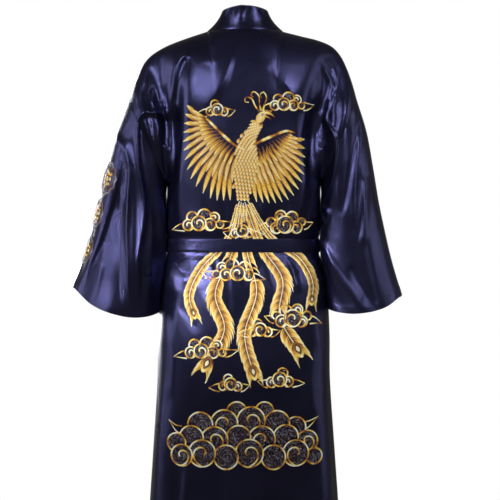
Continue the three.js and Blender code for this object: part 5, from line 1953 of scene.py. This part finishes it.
class ROBE_OT_embroidery(RobeStep):
    """Stitches the bird, the clouds and the bank of billows on the back"""
    bl_idname = "robe.embroidery"
    bl_label = "Back embroidery"

    seed: IntProperty(name="Seed", description="Of the small stitches' places and shades", default=7)

    def execute(self, context):
        random = np.random.default_rng(self.seed)
        lay = lay_on_back()
        gold, slate = Stitching(lay), Stitching(lay)
        bird = {name: Stitching(lay) for name in ("gold", "cream", "slate")}
        clouds = placed_clouds()
        covers = [lobe for lobes, _ in clouds for lobe in lobes]
        for lobes, wisps in clouds:
            stitch_cloud(gold, slate, lobes, wisps, random)
        for route, half in PLUMES:
            stitch_plume(bird, route, half, covers, random)
        for thread in bird.values():
            thread.size, thread.centre = BIRD_SIZE, np.array(PLUMES[-1][0][0], float)
        stitch_bird(bird)
        gold.finish("cloud_outlines", "Gold thread", "gold_thread")
        slate.finish("cloud_stitches", "Slate thread", "grey_thread")
        bird["gold"].finish("bird_gold", "Gold thread", "gold_thread")
        bird["cream"].finish("bird_cream", "Cream thread", "gold_thread")
        bird["slate"].finish("bird_shafts", "Slate thread", "grey_thread")
        return {"FINISHED"}


# Flower roundels down the outside of the left sleeve: the place on it, and half the width and height
ROUNDELS = table("turn along across down", (0.085, 0.4, 30, 36), (0.05, 0.6, 28, 33), (0.04, 0.8, 27, 32))


SCALLOPS = 11  # round a roundel's edge
SEPALS = 5
ROUNDEL_DASHES = 70
ROUNDEL_RINGS = table("size width shade", (1, 5.0, 0.55), (0.8, 2.6, 0.3))


def stitch_roundel(gold, slate, axes, random):
    """A scalloped double ring round a flower, on short stitches. axes are half its width and height."""
    angle = np.linspace(0, FULL_TURN, 10 * SCALLOPS + 1)
    scallops = 1 + 0.045 * np.cos(angle * SCALLOPS)
    for size, width, shade in zip(*ROUNDEL_RINGS.values()):
        ring = around(0, 0, size * scallops, angle) * axes
        slate.line(ring, width, 0.8, shade + 0.25 * np.sin(angle * SEPALS), 4)
    rosette(gold, 0, 0, min(axes) * 0.56, SEPALS, 1.0)
    for k in range(SEPALS):
        way = around(0, 0, 1, FULL_TURN * (k + 0.75) / SEPALS) * axes
        leaf(gold, way * 0.4, way * 0.72, 7, bend=0.12, rise=(0.7, 0.8), shades=(0.8, 0.2))
    for _ in range(ROUNDEL_DASHES):
        angle, reach = random.uniform(0, FULL_TURN), random.uniform(0.3, 0.74)
        dash = around(0, 0, reach, angle + np.array((0, 0.1, 0.2))) * axes
        slate.line(dash, 1.4, 0.35, random.uniform(0.2, 0.8), 3)


class ROBE_OT_roundels(RobeStep):
    """Stitches the three flower roundels on the left sleeve"""
    bl_idname = "robe.roundels"
    bl_label = "Sleeve roundels"

    def execute(self, context):
        for number, (turn, along, across, down) in enumerate(zip(*ROUNDELS.values()), 1):
            lay = lay_on_sleeve("left", turn, along)
            gold, slate = Stitching(lay), Stitching(lay)
            stitch_roundel(gold, slate, np.array((across, down)), np.random.default_rng(number))
            gold.finish("roundel_flower_" + str(number), "Gold thread", "gold_thread")
            slate.finish("roundel_ring_" + str(number), "Slate thread", "grey_thread")
        return {"FINISHED"}


# The lights: which power feeds each and what share of it, where it stands, its size, where it points and how
# widely it spreads, in degrees
WAIST = (0, 0, -0.5)
LIGHTS = table(
    "name power share place size aim spread",
    ("Key light left", "key_power", 1, (1.9, 2.6, 1.5), (1.1, 1.0), (0.12, 0.1, -0.12), 22),
    ("Key light right", "key_power", 2 / 3, (-1.9, 2.5, 1.5), (0.9, 0.8), (-0.13, 0.1, -0.12), 22),
    ("Hip light", "key_power", 0.2, (2.4, 2.1, 0.45), (0.35, 0.3), (0, 0.1, -0.6), 5),
    ("Left light", "side_power", 1, (3.2, 0.1, 0.1), (0.12, 2.2), WAIST, 180),
    ("Right light", "side_power", 0.36, (-3.1, -0.2, 0.1), (0.1, 2.2), WAIST, 180),
    ("Front light", "side_power", 3.2, (1.6, -3.0, -0.1), (1.4, 1.6), WAIST, 180),
)
FLOOR = {"radius": 2.6, "drop": 1.5, "glow": 0.6}
WHITE = (1, 1, 1)
WARM = (1, 0.93, 0.68)  # the tint of the light all round, under the white that the camera sees


def softbox(name, power, place, size, aim, spread):
    light = bpy.data.lights.new(name, "AREA")
    light.shape = "RECTANGLE"
    light.size, light.size_y = size
    light.energy = power
    light.spread = math.radians(spread)
    lamp = bpy.data.objects.new(name, light)
    bpy.context.scene.collection.objects.link(lamp)
    lamp.location = place
    lamp.rotation_euler = (Vector(aim) - Vector(place)).to_track_quat("-Z", "Y").to_euler()


def pale_floor():
    """A disc under the robe, which shows white and throws no reflection on the satin."""
    bpy.ops.object.select_all(action="DESELECT")
    place = (0, 0, -FLOOR["drop"])
    bpy.ops.mesh.primitive_circle_add(vertices=96, radius=FLOOR["radius"], fill_type="NGON", location=place)
    floor = bpy.context.object
    floor.name = "floor"
    floor.visible_glossy = False
    tree, shader = new_material("Pale floor")
    grain = add_node(tree, "ShaderNodeTexNoise", Scale=3.0, Detail=2.0)
    tone = mixed(tree, grain.outputs["Fac"], (0.8, 0.8, 0.8), (0.84, 0.84, 0.84))
    glow = FLOOR["glow"]
    feed(tree, shader, Base_Color=tone, Roughness=0.8, Emission_Color=(*WHITE, 1), Emission_Strength=glow)
    floor.data.materials.append(bpy.data.materials["Pale floor"])


def surroundings(scene, fill):
    """White where the camera sees them, and otherwise a warm and weaker light all round."""
    world = bpy.data.worlds.new("Studio")
    world.use_nodes = True
    tree = world.node_tree
    seen = tree.nodes.new("ShaderNodeLightPath").outputs["Is Camera Ray"]
    strength = add_node(tree, "ShaderNodeMapRange", Value=seen, To_Min=fill, To_Max=1.0)
    tint = mixed(tree, seen, WARM, WHITE)
    feed(tree, tree.nodes["Background"], Color=tint, Strength=strength.outputs[0])
    scene.world = world
    scene.view_settings.view_transform = "Standard"


class ROBE_OT_stage(RobeStep):
    """Makes the pale floor, the white surroundings and the soft lights"""
    bl_idname = "robe.stage"
    bl_label = "Stage"

    def execute(self, context):
        stage = context.scene.robe_stage
        pale_floor()
        surroundings(context.scene, stage.world)
        for name, power, share, place, size, aim, spread in zip(*LIGHTS.values()):
            softbox(name, getattr(stage, power) * share, place, size, aim, spread)
        return {"FINISHED"}


class ROBE_PT_panel(bpy.types.Panel):
    """Lists the robe's settings and steps"""
    bl_label = "Robe"
    bl_idname = "ROBE_PT_panel"
    bl_space_type = "VIEW_3D"
    bl_region_type = "UI"
    bl_category = "Robe"

    def draw(self, context):
        layout = self.layout
        for name in RobeCloth.__annotations__:
            layout.prop(context.scene.robe_cloth, name)
        for name in RobeStage.__annotations__:
            layout.prop(context.scene.robe_stage, name)
        for step in STEPS:
            layout.operator(step.bl_idname)


STEPS = (
    ROBE_OT_camera,
    ROBE_OT_materials,
    ROBE_OT_back,
    ROBE_OT_fronts,
    ROBE_OT_sleeves,
    ROBE_OT_collar,
    ROBE_OT_belt,
    ROBE_OT_sewing,
    ROBE_OT_embroidery,
    ROBE_OT_roundels,
    ROBE_OT_stage,
)
CLASSES = (RobeCloth, RobeStage, *STEPS, ROBE_PT_panel)


def register():
    for cls in CLASSES:
        bpy.utils.register_class(cls)
    bpy.types.Scene.robe_cloth = PointerProperty(type=RobeCloth)
    bpy.types.Scene.robe_stage = PointerProperty(type=RobeStage)


def unregister():
    del bpy.types.Scene.robe_stage
    del bpy.types.Scene.robe_cloth
    for cls in reversed(CLASSES):
        bpy.utils.unregister_class(cls)


def main():
    register()
    bpy.ops.object.select_all(action="DESELECT")
    for step in STEPS:
        group, name = step.bl_idname.split(".")
        getattr(getattr(bpy.ops, group), name)()


if __name__ == "__main__":
    main()
